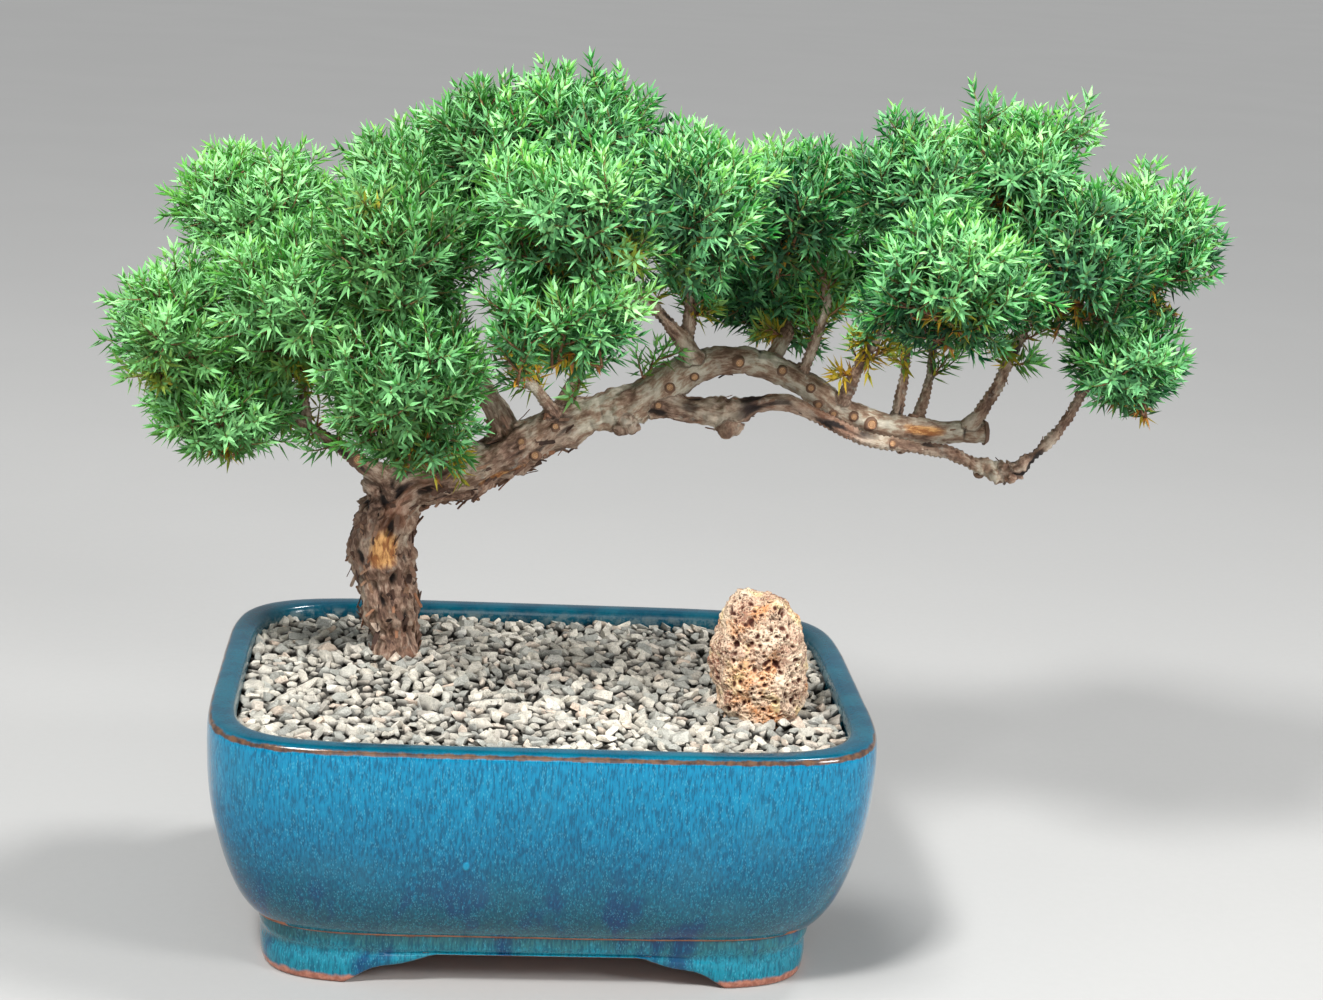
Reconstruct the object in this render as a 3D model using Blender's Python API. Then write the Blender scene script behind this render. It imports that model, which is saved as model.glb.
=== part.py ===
"""Juniper bonsai with an arching trunk, in a glazed stoneware pot with gravel and a lava rock.

Metres, +Z up. X runs along the pot, the front of the tree faces -Y, and the origin is
under the middle of the whole plant, on the surface that the pot stands on.
"""

import math

import bmesh
import bpy
from mathutils import Matrix, Vector, noise

# Pot
POT_LENGTH = 0.280
POT_WIDTH = 0.205
POT_HEIGHT = 0.112
RIM_WIDTH = 0.0115
WALL = 0.0095
FLOOR_TOP = 0.027
UNDERSIDE = 0.0165
BELLY_POWER = 6.0  # roundness of the plan: 2 is an ellipse, 20 a sharp rectangle
RING_POINTS = 40
FOOT_INSET = 0.0225
FOOT_WIDTH = 0.017
FOOT_LENGTH = 0.038
APRON_TOP = 0.0150
APRON_SLOPE = 0.004  # sideways run of the cutter's sloping ends
SCALLOP_MARGIN = 0.005  # kept clear at the middle, so the two rises never cross
DRAIN_HOLE_RADIUS = 0.008
DRAIN_HOLE_SPACING = 0.100

# Drainage screens, soil and gravel
SCREEN_SIDE = 0.028
SCREEN_THICKNESS = 0.0012
SCREEN_BARS = 4
SCREEN_BAR_WIDTH = 0.0028
SEAT_GAP = 0.0004  # between pieces that rest on each other
GRAVEL_EDGE_DROP = 0.0085  # gravel surface below the rim, at the wall
GRAVEL_DEPTH = 0.012
GRAVEL_LUMP = 0.0014
MOUND_HEIGHT = 0.0050
MOUND_SPREAD = 0.045

# Tree, with every branch measured from the foot of the trunk
TRUNK_X = -0.065
TRUNK_Y = 0.031
ROOT_DEPTH = 0.030  # of the trunk below the gravel surface
TREE_SIZE = 1.0  # against the branch and pad measurements below
BARK_RELIEF = 0.07  # of the radius
BARK_CLEARANCE = 0.0008  # between a branch and the foliage round it
PAD_GAP = 0.0010
PAD_LUMP = 0.16  # of the pad's radius

# Lava rock
ROCK_X = 0.092
ROCK_Y = -0.023
ROCK_WIDTH = 0.040
ROCK_DEPTH = 0.034
ROCK_HEIGHT = 0.056  # above the gravel
ROCK_SINK = 0.009
ROCK_TAPER = 0.20  # narrowing toward the top
ROCK_LEAN = 0.10  # sideways lean against height

# Pot wall from the groove above the feet to the rim: height, inset from the rim's outline
BODY_PROFILE = (
    (0.0150, 0.0226),
    (0.0190, 0.0212),
    (0.0228, 0.0214),
    (0.0246, 0.0188),
    (0.0300, 0.0148),
    (0.0380, 0.0108),
    (0.0480, 0.0073),
    (0.0590, 0.0044),
    (0.0710, 0.0021),
    (0.0840, 0.0006),
    (0.0980, 0.0000),
)
FOOT_PROFILE = ((0.0000, 0.0010), (0.0012, 0.0000), (0.0070, -0.0004), (0.0125, 0.0004))
FOOT_SCALLOP = (
    (0.000, 0.0),
    (0.006, 0.0041),
    (0.013, 0.0078),
    (0.023, 0.0095),
    (0.031, 0.0120),
    (0.036, 0.0143),
)

# Branches: x, y, z from the trunk's foot at gravel level, radius
BRANCHES = {
    "trunk": (
        (0.000, 0.002, 0.004, 0.0105),
        (-0.002, 0.002, 0.012, 0.0115),
        (-0.004, 0.001, 0.024, 0.0128),
        (-0.006, 0.001, 0.038, 0.0142),
        (-0.007, 0.000, 0.048, 0.0146),
        (-0.005, -0.002, 0.060, 0.0136),
        (-0.001, -0.004, 0.071, 0.0130),
        (0.007, -0.006, 0.079, 0.0118),
        (0.019, -0.008, 0.083, 0.0112),
        (0.032, -0.010, 0.088, 0.0116),
        (0.048, -0.012, 0.096, 0.0108),
        (0.067, -0.013, 0.108, 0.0096),
        (0.086, -0.013, 0.115, 0.0090),
        (0.104, -0.013, 0.122, 0.0086),
        (0.124, -0.013, 0.136, 0.0076),
        (0.146, -0.013, 0.141, 0.0064),
        (0.167, -0.013, 0.135, 0.0060),
        (0.182, -0.013, 0.126, 0.0060),
        (0.196, -0.013, 0.118, 0.0060),
        (0.220, -0.013, 0.113, 0.0057),
        (0.239, -0.013, 0.112, 0.0054),
        (0.256, -0.013, 0.113, 0.0048),
    ),
    "under_branch": (
        (0.104, -0.014, 0.121, 0.0066),
        (0.128, -0.019, 0.119, 0.0056),
        (0.141, -0.021, 0.119, 0.0052),
        (0.150, -0.022, 0.123, 0.0043),
        (0.166, -0.023, 0.125, 0.0037),
        (0.181, -0.024, 0.119, 0.0034),
        (0.199, -0.024, 0.111, 0.0033),
        (0.219, -0.024, 0.108, 0.0031),
        (0.238, -0.024, 0.106, 0.0031),
        (0.250, -0.025, 0.101, 0.0031),
        (0.264, -0.027, 0.098, 0.0036),
        (0.274, -0.029, 0.106, 0.0028),
        (0.282, -0.031, 0.116, 0.0026),
        (0.288, -0.032, 0.127, 0.0026),
        (0.293, -0.033, 0.140, 0.0024),
        (0.294, -0.033, 0.152, 0.0022),
        (0.297, -0.031, 0.163, 0.0020),
        (0.306, -0.025, 0.177, 0.0017),
        (0.316, -0.019, 0.194, 0.0015),
    ),
    "far_low_twig": ((0.294, -0.033, 0.150, 0.0020), (0.305, -0.038, 0.156, 0.0016)),
    "left_branch": (
        (-0.003, -0.006, 0.080, 0.0060),
        (-0.015, -0.015, 0.088, 0.0039),
        (-0.026, -0.023, 0.098, 0.0031),
        (-0.039, -0.031, 0.108, 0.0028),
        (-0.053, -0.039, 0.117, 0.0025),
        (-0.069, -0.043, 0.127, 0.0022),
        (-0.085, -0.045, 0.141, 0.0019),
        (-0.094, -0.042, 0.151, 0.0016),
    ),
    "left_mid_twig": (
        (-0.039, -0.031, 0.108, 0.0022),
        (-0.042, -0.040, 0.135, 0.0018),
        (-0.045, -0.049, 0.162, 0.0015),
    ),
    "left_upper_branch": (
        (0.002, -0.004, 0.082, 0.0060),
        (0.000, 0.001, 0.110, 0.0042),
        (-0.014, 0.004, 0.145, 0.0032),
        (-0.040, 0.005, 0.177, 0.0024),
        (-0.062, 0.005, 0.196, 0.0018),
    ),
    "rear_left_twig": (
        (-0.006, 0.003, 0.128, 0.0026),
        (-0.018, 0.018, 0.148, 0.0020),
        (-0.028, 0.036, 0.162, 0.0016),
    ),
    "leader": (
        (0.047, -0.010, 0.099, 0.0080),
        (0.040, -0.006, 0.115, 0.0062),
        (0.034, -0.004, 0.122, 0.0054),
        (0.025, -0.009, 0.135, 0.0044),
        (0.015, -0.019, 0.155, 0.0035),
        (0.008, -0.029, 0.173, 0.0026),
        (0.002, -0.050, 0.187, 0.0018),
    ),
    "front_left_twig": (
        (0.026, -0.008, 0.134, 0.0030),
        (0.019, -0.036, 0.140, 0.0022),
        (0.008, -0.070, 0.143, 0.0017),
    ),
    "upper_left_twig": (
        (0.015, -0.019, 0.155, 0.0026),
        (0.010, -0.009, 0.180, 0.0020),
        (0.003, -0.001, 0.209, 0.0016),
    ),
    "crown_branch": (
        (0.126, -0.016, 0.141, 0.0046),
        (0.112, -0.025, 0.158, 0.0033),
        (0.097, -0.035, 0.173, 0.0029),
        (0.082, -0.043, 0.188, 0.0024),
        (0.072, -0.033, 0.210, 0.0020),
        (0.067, -0.023, 0.238, 0.0016),
    ),
    "crown_left_twig": (
        (0.082, -0.043, 0.188, 0.0020),
        (0.060, -0.037, 0.210, 0.0017),
        (0.038, -0.033, 0.227, 0.0014),
    ),
    "crown_front_twig": (
        (0.082, -0.043, 0.188, 0.0020),
        (0.074, -0.062, 0.199, 0.0017),
        (0.068, -0.078, 0.207, 0.0014),
    ),
    "front_low_twig": (
        (0.097, -0.035, 0.173, 0.0021),
        (0.083, -0.059, 0.173, 0.0017),
        (0.068, -0.083, 0.176, 0.0014),
    ),
    "rear_centre_branch": (
        (0.068, -0.010, 0.114, 0.0044),
        (0.076, 0.004, 0.128, 0.0032),
        (0.070, 0.018, 0.158, 0.0024),
        (0.066, 0.028, 0.184, 0.0017),
    ),
    "centre_twig": (
        (0.122, -0.012, 0.138, 0.0040),
        (0.121, -0.023, 0.167, 0.0026),
        (0.117, -0.039, 0.195, 0.0020),
        (0.116, -0.049, 0.210, 0.0015),
    ),
    "yellow_spur": (
        (0.066, -0.018, 0.115, 0.0036),
        (0.057, -0.027, 0.127, 0.0026),
        (0.049, -0.037, 0.136, 0.0021),
        (0.043, -0.044, 0.142, 0.0016),
    ),
    "centre_right_branch": (
        (0.158, -0.011, 0.138, 0.0044),
        (0.166, -0.001, 0.151, 0.0033),
        (0.174, 0.009, 0.158, 0.0029),
        (0.170, 0.023, 0.165, 0.0020),
    ),
    "centre_right_twig": (
        (0.172, -0.014, 0.134, 0.0032),
        (0.178, -0.017, 0.155, 0.0025),
        (0.181, -0.018, 0.168, 0.0022),
        (0.174, -0.015, 0.195, 0.0016),
    ),
    "right_front_branch": (
        (0.190, -0.014, 0.122, 0.0036),
        (0.196, -0.027, 0.146, 0.0025),
        (0.201, -0.035, 0.159, 0.0023),
        (0.210, -0.053, 0.177, 0.0019),
        (0.218, -0.066, 0.186, 0.0015),
    ),
    "right_inner_branch": (
        (0.216, -0.011, 0.114, 0.0034),
        (0.219, -0.007, 0.136, 0.0023),
        (0.219, -0.007, 0.155, 0.0021),
        (0.215, -0.019, 0.190, 0.0018),
        (0.211, -0.028, 0.217, 0.0014),
    ),
    "rear_right_branch": (
        (0.226, -0.009, 0.114, 0.0034),
        (0.233, 0.004, 0.134, 0.0021),
        (0.236, 0.020, 0.160, 0.0018),
        (0.235, 0.034, 0.182, 0.0015),
    ),
    "right_end_branch": (
        (0.246, -0.013, 0.113, 0.0042),
        (0.252, -0.017, 0.122, 0.0033),
        (0.258, -0.021, 0.136, 0.0028),
        (0.265, -0.025, 0.159, 0.0026),
        (0.272, -0.025, 0.179, 0.0022),
        (0.265, -0.017, 0.207, 0.0018),
        (0.258, -0.012, 0.230, 0.0014),
    ),
    "right_mid_twig": (
        (0.270, -0.025, 0.172, 0.0020),
        (0.278, -0.039, 0.193, 0.0015),
    ),
    "crook_stub": ((-0.006, -0.006, 0.070, 0.0070), (-0.017, -0.008, 0.082, 0.0042)),
    "arch_knob": ((0.096, -0.016, 0.115, 0.0060), (0.097, -0.019, 0.106, 0.0042)),
    "hanging_stub": ((0.140, -0.021, 0.118, 0.0048), (0.142, -0.024, 0.108, 0.0036)),
    "under_knob": ((0.263, -0.027, 0.099, 0.0038), (0.269, -0.029, 0.096, 0.0034)),
}

# Foliage pads: centre from the trunk's foot at gravel level, half sizes
PADS = {
    "foliage_left_tip": ((-0.093, -0.041, 0.150), (0.026, 0.036, 0.027)),
    "foliage_left_low": ((-0.076, -0.032, 0.119), (0.033, 0.040, 0.021)),
    "foliage_left_mid": ((-0.046, -0.052, 0.167), (0.031, 0.040, 0.030)),
    "foliage_left_upper": ((-0.065, 0.005, 0.195), (0.033, 0.040, 0.024)),
    "foliage_front_left_low": ((0.002, -0.076, 0.138), (0.035, 0.036, 0.031)),
    "foliage_front_left_upper": ((-0.002, -0.062, 0.190), (0.033, 0.040, 0.028)),
    "foliage_upper_left": ((0.002, 0.001, 0.211), (0.029, 0.038, 0.023)),
    "foliage_rear_left": ((-0.032, 0.044, 0.168), (0.040, 0.034, 0.030)),
    "foliage_crown_left": ((0.033, -0.031, 0.229), (0.024, 0.040, 0.026)),
    "foliage_crown_top": ((0.068, -0.020, 0.237), (0.034, 0.044, 0.025)),
    "foliage_crown_front": ((0.067, -0.084, 0.209), (0.038, 0.036, 0.027)),
    "foliage_front_low": ((0.066, -0.088, 0.174), (0.032, 0.030, 0.019)),
    "foliage_rear_centre": ((0.064, 0.036, 0.192), (0.042, 0.036, 0.030)),
    "foliage_centre_front": ((0.116, -0.054, 0.213), (0.029, 0.040, 0.030)),
    "foliage_centre_right": ((0.163, -0.011, 0.209), (0.034, 0.040, 0.029)),
    "foliage_centre_rear": ((0.166, 0.030, 0.168), (0.040, 0.034, 0.022)),
    "foliage_right_inner": ((0.210, -0.032, 0.219), (0.029, 0.040, 0.027)),
    "foliage_right_top": ((0.256, -0.010, 0.230), (0.032, 0.038, 0.024)),
    "foliage_right_front": ((0.222, -0.072, 0.190), (0.038, 0.038, 0.027)),
    "foliage_rear_right": ((0.238, 0.040, 0.188), (0.042, 0.034, 0.030)),
    "foliage_right_mid": ((0.279, -0.042, 0.196), (0.031, 0.040, 0.030)),
    "foliage_far_right": ((0.319, -0.012, 0.200), (0.028, 0.038, 0.029)),
    "foliage_far_right_low": ((0.306, -0.042, 0.155), (0.026, 0.034, 0.018)),
}

GLAZE = ("teal_glaze", (0.010, 0.190, 0.370), 0.14)
PLASTIC = ("black_plastic", (0.020, 0.022, 0.024), 0.60)
SOIL = ("potting_soil", (0.055, 0.035, 0.022), 0.95)
GRAVEL = ("grey_gravel", (0.420, 0.420, 0.370), 0.85)
LAVA = ("lava_stone", (0.380, 0.190, 0.120), 0.90)
BARK = ("juniper_bark", (0.110, 0.070, 0.050), 0.85)
NEEDLES = ("juniper_needles", (0.060, 0.260, 0.110), 0.60)


def material(name, colour, roughness):
    found = bpy.data.materials.get(name)
    if found:
        return found
    made = bpy.data.materials.new(name)
    made.use_nodes = True
    shader = made.node_tree.nodes["Principled BSDF"]
    shader.inputs["Base Color"].default_value = (*colour, 1.0)
    shader.inputs["Roughness"].default_value = roughness
    shader.inputs["Metallic"].default_value = 0.0
    made.diffuse_color = (*colour, 1.0)
    return made


def add_object(name, bm, finish, sharp_angle=35.0):
    bmesh.ops.recalc_face_normals(bm, faces=bm.faces)
    mesh = bpy.data.meshes.new(name)
    bm.to_mesh(mesh)
    bm.free()
    mesh.shade_smooth()
    mesh.set_sharp_from_angle(angle=math.radians(sharp_angle))
    obj = bpy.data.objects.new(name, mesh)
    bpy.context.scene.collection.objects.link(obj)
    if finish:
        mesh.materials.append(material(*finish))
    return obj


def make_cutter(obj):
    obj.hide_render = True
    obj.display_type = "WIRE"
    return obj


def combine(obj, other, operation):
    modifier = obj.modifiers.new(f"{operation.title()} {other.name}", "BOOLEAN")
    modifier.operation = operation
    modifier.solver = "EXACT"
    modifier.object = other


def outline(inset, height):
    """One level ring of the pot's rounded-rectangle plan."""
    half_length = POT_LENGTH / 2 - inset
    half_width = POT_WIDTH / 2 - inset
    points = []
    for step in range(RING_POINTS):
        turn = math.tau * step / RING_POINTS
        across, along = math.cos(turn), math.sin(turn)
        x = half_length * math.copysign(abs(across) ** (2 / BELLY_POWER), across)
        y = half_width * math.copysign(abs(along) ** (2 / BELLY_POWER), along)
        points.append(Vector((x, y, height)))
    return points


def skin(rings, caps_bulge=False):
    """A closed body through rings of equal point counts.

    With caps_bulge every face is a triangle and each cap has a middle point, so that two
    bodies skinned through the same rings lie flush.
    """
    bm = bmesh.new()
    loops = [[bm.verts.new(point) for point in ring] for ring in rings]
    for low, high in zip(loops, loops[1:]):
        for i, corner in enumerate(low):
            j = (i + 1) % len(low)
            if caps_bulge:
                bm.faces.new((corner, low[j], high[j]))
                bm.faces.new((corner, high[j], high[i]))
            else:
                bm.faces.new((corner, low[j], high[j], high[i]))
    for loop in (loops[0], loops[-1]):
        if caps_bulge:
            middle = sum((vert.co for vert in loop), Vector()) / len(loop)
            bmesh.ops.contextual_create(bm, geom=loop)
            fan = bmesh.ops.poke(bm, faces=[max(bm.faces, key=lambda face: len(face.verts))])
            fan["verts"][0].co = middle
        else:
            bm.faces.new(loop)
    return bm


def block(centre, size):
    bm = bmesh.new()
    scale = Matrix.Diagonal((*size, 1.0))
    bmesh.ops.create_cube(bm, size=1.0, matrix=Matrix.Translation(centre) @ scale)
    return bm


def rod(centre, radius, height, sides):
    bm = bmesh.new()
    bmesh.ops.create_cone(
        bm,
        cap_ends=True,
        segments=sides,
        radius1=radius,
        radius2=radius,
        depth=height,
        matrix=Matrix.Translation(centre),
    )
    return bm


def inner_wall():
    """(height, inset) down the inside of the pot, from the rim to the floor."""
    levels = [(POT_HEIGHT - 0.0060, RIM_WIDTH)]
    for height, inset in reversed(BODY_PROFILE):
        if height > FLOOR_TOP + 0.008:
            levels.append((height, inset + WALL))
    levels.append((FLOOR_TOP + 0.0030, levels[-1][1] + 0.0050))
    levels.append((FLOOR_TOP, levels[-1][1] + 0.0060))
    return levels


def wall_inset(height):
    """Inset of the pot's inside at any height between its floor and its rim."""
    levels = inner_wall()
    for (top, top_inset), (low, low_inset) in zip(levels, levels[1:]):
        if low <= height <= top:
            share = (height - low) / (top - low)
            return low_inset + share * (top_inset - low_inset)
    return levels[0][1] if height > levels[0][0] else levels[-1][1]


def scallop_cutter(name, half_span, reach, along_x):
    """Solid that opens the skirt between two feet."""
    opening = half_span - FOOT_LENGTH
    squeeze = min(1.0, (opening - SCALLOP_MARGIN) / FOOT_SCALLOP[-1][0])
    rise = [(opening - squeeze * run, height) for run, height in FOOT_SCALLOP]
    section = [(rise[0][0] + APRON_SLOPE, -0.010)]
    section += rise
    section.append((rise[-1][0] - APRON_SLOPE, APRON_TOP))
    section += [(-across, height) for across, height in reversed(section)]
    rings = []
    for depth in (-reach, reach):
        if along_x:
            rings.append([Vector((across, depth, height)) for across, height in section])
        else:
            rings.append([Vector((depth, across, height)) for across, height in section])
    return make_cutter(add_object(name, skin(rings), None))


def build_pot():
    foot_inner = FOOT_INSET + FOOT_WIDTH
    rings = [outline(foot_inner + 0.0015, UNDERSIDE), outline(foot_inner, 0.0)]
    rings += [outline(FOOT_INSET + inset, height) for height, inset in FOOT_PROFILE]
    rings += [outline(inset, height) for height, inset in BODY_PROFILE]
    for height, inset in ((-0.0035, 0.0002), (-0.0010, 0.0010), (0.0, 0.0030)):
        rings.append(outline(inset, POT_HEIGHT + height))
    rings.append(outline(RIM_WIDTH - 0.0028, POT_HEIGHT))
    rings.append(outline(RIM_WIDTH - 0.0006, POT_HEIGHT - 0.0016))
    rings += [outline(inset, height) for height, inset in inner_wall()]
    pot = add_object("pot", skin(rings), GLAZE)
    half_length = POT_LENGTH / 2 - FOOT_INSET
    half_width = POT_WIDTH / 2 - FOOT_INSET
    combine(pot, scallop_cutter("front_scallops", half_length, POT_WIDTH, True), "DIFFERENCE")
    combine(pot, scallop_cutter("side_scallops", half_width, POT_LENGTH, False), "DIFFERENCE")
    for side, place in (("left", -0.5), ("right", 0.5)):
        centre = Vector((place * DRAIN_HOLE_SPACING, 0.0, FLOOR_TOP))
        hole = add_object(f"drain_hole_{side}", rod(centre, DRAIN_HOLE_RADIUS, 0.040, 20), None)
        combine(pot, make_cutter(hole), "DIFFERENCE")


def build_screen(name, centre_x):
    """A flat plastic grid that keeps soil out of a drain hole."""
    pitch = (SCREEN_SIDE - SCREEN_BAR_WIDTH) / (SCREEN_BARS - 1)
    edges = []
    for bar in range(SCREEN_BARS):
        middle = -SCREEN_SIDE / 2 + SCREEN_BAR_WIDTH / 2 + bar * pitch
        edges += [middle - SCREEN_BAR_WIDTH / 2, middle + SCREEN_BAR_WIDTH / 2]
    bottom = FLOOR_TOP + SEAT_GAP
    bm = bmesh.new()
    levels = (bottom, bottom + SCREEN_THICKNESS)
    grid = [[[bm.verts.new((centre_x + x, y, z)) for z in levels] for y in edges] for x in edges]
    last = len(edges) - 1

    def filled(i, j):
        return 0 <= i < last and 0 <= j < last and (i % 2 == 0 or j % 2 == 0)

    for i in range(last):
        for j in range(last):
            if not filled(i, j):
                continue
            a, b, c, d = grid[i][j], grid[i + 1][j], grid[i + 1][j + 1], grid[i][j + 1]
            bm.faces.new((a[1], b[1], c[1], d[1]))
            bm.faces.new((d[0], c[0], b[0], a[0]))
            sides = (
                ((i, j - 1), a, b),
                ((i + 1, j), b, c),
                ((i, j + 1), c, d),
                ((i - 1, j), d, a),
            )
            for beside, p, q in sides:
                if not filled(*beside):
                    bm.faces.new((p[0], q[0], q[1], p[1]))
    return add_object(name, bm, PLASTIC)


def gravel_height(x, y):
    """Height of the gravel surface, mounded round the trunk."""
    away = math.hypot(x - TRUNK_X, y - TRUNK_Y) / MOUND_SPREAD
    toward_back = 0.5 + y / POT_WIDTH
    mound = MOUND_HEIGHT * math.exp(-(away**2)) + 0.0025 * toward_back
    return POT_HEIGHT - GRAVEL_EDGE_DROP + mound


def spread_rings(inset, height_at, count):
    """Rings from near the middle out to the wall, on a height field."""
    rings = []
    for step in range(1, count + 1):
        share = (step / count) ** 0.8
        ring = []
        for point in outline(inset, 0.0):
            x, y = share * point.x, share * point.y
            ring.append(Vector((x, y, height_at(x, y))))
        rings.append(ring)
    return rings


def bed_inset():
    """Inset of the edge of the gravel, and of the soil surface under it."""
    surface = POT_HEIGHT - GRAVEL_EDGE_DROP + 0.0030
    return max(wall_inset(surface), wall_inset(surface - GRAVEL_DEPTH)) + 2 * SEAT_GAP


def build_gravel(holes):
    def lumpy(x, y):
        return gravel_height(x, y) + GRAVEL_LUMP * noise.noise(Vector((x, y, 0.0)) * 110)

    def underneath(x, y):
        return gravel_height(x, y) - GRAVEL_DEPTH

    top = spread_rings(bed_inset(), lumpy, 7)
    bottom = spread_rings(bed_inset(), underneath, 4)
    gravel = add_object("gravel_top_dressing", skin(top + bottom[::-1], True), GRAVEL, 12.0)
    for hole in holes:
        combine(gravel, hole, "DIFFERENCE")


def build_soil(screens, fat_trunk):
    def surface(x, y):
        return gravel_height(x, y) - GRAVEL_DEPTH - SEAT_GAP

    shoulder = POT_HEIGHT - GRAVEL_EDGE_DROP - GRAVEL_DEPTH - 0.004
    rings = [outline(inner_wall()[-1][1] + 2 * SEAT_GAP, FLOOR_TOP + SEAT_GAP)]
    for height, inset in reversed(inner_wall()):
        if FLOOR_TOP < height < shoulder:
            rings.append(outline(inset + 2 * SEAT_GAP, height))
    rings += spread_rings(bed_inset(), surface, 4)[::-1]
    soil = add_object("soil_root_ball", skin(rings, True), SOIL)
    combine(soil, fat_trunk, "DIFFERENCE")
    for screen in screens:
        x = screen.bound_box[0][0] + SCREEN_SIDE / 2
        side = SCREEN_SIDE + 2 * SEAT_GAP
        height = 2 * (SCREEN_THICKNESS + 2 * SEAT_GAP)
        recess = block(Vector((x, 0.0, FLOOR_TOP)), (side, side, height))
        name = f"{screen.name}_recess"
        combine(soil, make_cutter(add_object(name, recess, None)), "DIFFERENCE")


def tree_point(x, y, z):
    foot = Vector((TRUNK_X, TRUNK_Y, gravel_height(TRUNK_X, TRUNK_Y)))
    return foot + TREE_SIZE * Vector((x, y, z))


def smooth_path(points):
    """Twice as many points, on a curve through the given ones."""
    path = []
    for i in range(len(points) - 1):
        before = points[max(i - 1, 0)]
        start, end = points[i], points[i + 1]
        after = points[min(i + 2, len(points) - 1)]
        path.append(start)
        middle = [
            (9 * (a + b) - (c + d)) / 16 for a, b, c, d in zip(start, end, before, after)
        ]
        path.append(tuple(middle))
    path.append(points[-1])
    return path


def tube(name, points, grow):
    """One branch as a closed tube with uneven bark. grow thickens it all round."""
    if name in ("trunk", "under_branch"):
        points = smooth_path(points)
    sides = 12 if name == "trunk" else 7
    centres = [tree_point(*point[:3]) for point in points]
    radii = [TREE_SIZE * point[3] for point in points]
    if name == "trunk":
        root = tree_point(0.0, 0.002, -ROOT_DEPTH / TREE_SIZE)
        centres.insert(0, root)
        radii.insert(0, 1.25 * radii[0])
    if grow:
        start_along = (centres[0] - centres[1]).normalized()
        end_along = (centres[-1] - centres[-2]).normalized()
        centres[0] += grow * start_along
        centres[-1] += grow * end_along
    along = (centres[1] - centres[0]).normalized()
    side = along.orthogonal().normalized()
    rings = []
    for i, centre in enumerate(centres):
        ahead = centres[min(i + 1, len(centres) - 1)] - centres[max(i - 1, 0)]
        turned = along.rotation_difference(ahead.normalized())
        along = ahead.normalized()
        side = (turned @ side).normalized()
        other = along.cross(side)
        ring = []
        for step in range(sides):
            turn = math.tau * step / sides
            outward = math.cos(turn) * side + math.sin(turn) * other
            bump = 1 + BARK_RELIEF * noise.noise((centre + 0.01 * outward) * 150)
            ring.append(centre + (radii[i] * bump + grow) * outward)
        rings.append(ring)
    return skin(rings)


def build_tree(name, finish, grow):
    trunk = add_object(name, tube("trunk", BRANCHES["trunk"], grow), finish, 60.0)
    for branch, points in BRANCHES.items():
        if branch == "trunk":
            continue
        limb = add_object(f"{name}_{branch}", tube(branch, points, grow), finish, 60.0)
        combine(trunk, make_cutter(limb), "UNION")
    return trunk


def pad_radius(half, toward):
    return 1 / math.sqrt(sum((part / size) ** 2 for part, size in zip(toward, half)))


def build_pads(fat_trunk):
    """Foliage pads, each cut back to a flat gap where it meets its neighbours."""
    pads = {}
    for name, (centre, half) in PADS.items():
        pads[name] = (tree_point(*centre), TREE_SIZE * Vector(half))
    for name, (centre, half) in pads.items():
        bm = bmesh.new()
        bmesh.ops.create_uvsphere(bm, u_segments=16, v_segments=9, radius=1.0)
        for vert in bm.verts:
            outward = vert.co.normalized()
            lump = 1 + PAD_LUMP * noise.noise(1.7 * outward + 40 * centre)
            lump += PAD_LUMP / 2 * noise.noise(5.0 * outward + 40 * centre)
            vert.co = centre + lump * Vector(a * b for a, b in zip(outward, half))
        for other_name, (other, other_half) in pads.items():
            between = other - centre
            if other_name == name:
                continue
            toward = between.normalized()
            mine = pad_radius(half, toward)
            theirs = pad_radius(other_half, toward)
            if between.length > (1 + PAD_LUMP) * (mine + theirs) + PAD_GAP:
                continue
            reach = between.length * mine / (mine + theirs) - PAD_GAP / 2
            cut = bmesh.ops.bisect_plane(
                bm,
                geom=bm.verts[:] + bm.edges[:] + bm.faces[:],
                plane_co=centre + reach * toward,
                plane_no=toward,
                clear_outer=True,
            )
            edges = [part for part in cut["geom_cut"] if isinstance(part, bmesh.types.BMEdge)]
            bmesh.ops.holes_fill(bm, edges=edges, sides=0)
        pad = add_object(name, bm, NEEDLES)
        combine(pad, fat_trunk, "DIFFERENCE")


def rock_mesh(grow):
    top = gravel_height(ROCK_X, ROCK_Y) + ROCK_HEIGHT
    low = gravel_height(ROCK_X, ROCK_Y) - ROCK_SINK
    centre = Vector((ROCK_X, ROCK_Y, (top + low) / 2))
    half = Vector((ROCK_WIDTH, ROCK_DEPTH, top - low)) / 2
    bm = bmesh.new()
    bmesh.ops.create_icosphere(bm, subdivisions=3, radius=1.0)
    for vert in bm.verts:
        outward = vert.co.normalized()
        blocky = sum(abs(part) ** 3 for part in outward) ** (-1 / 3)
        lump = 1 + 0.10 * noise.noise(1.4 * outward + 3 * Vector((1, 1, 1)))
        lump += 0.05 * noise.noise(5.0 * outward)
        narrow = 1 - ROCK_TAPER * max(outward.z, 0.0)
        size = (half + Vector((grow, grow, grow))) * blocky * lump
        lean = -ROCK_LEAN * outward.z * half.z
        vert.co = centre + Vector(
            (outward.x * size.x * narrow + lean, outward.y * size.y, outward.z * size.z)
        )
    return bm


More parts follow.
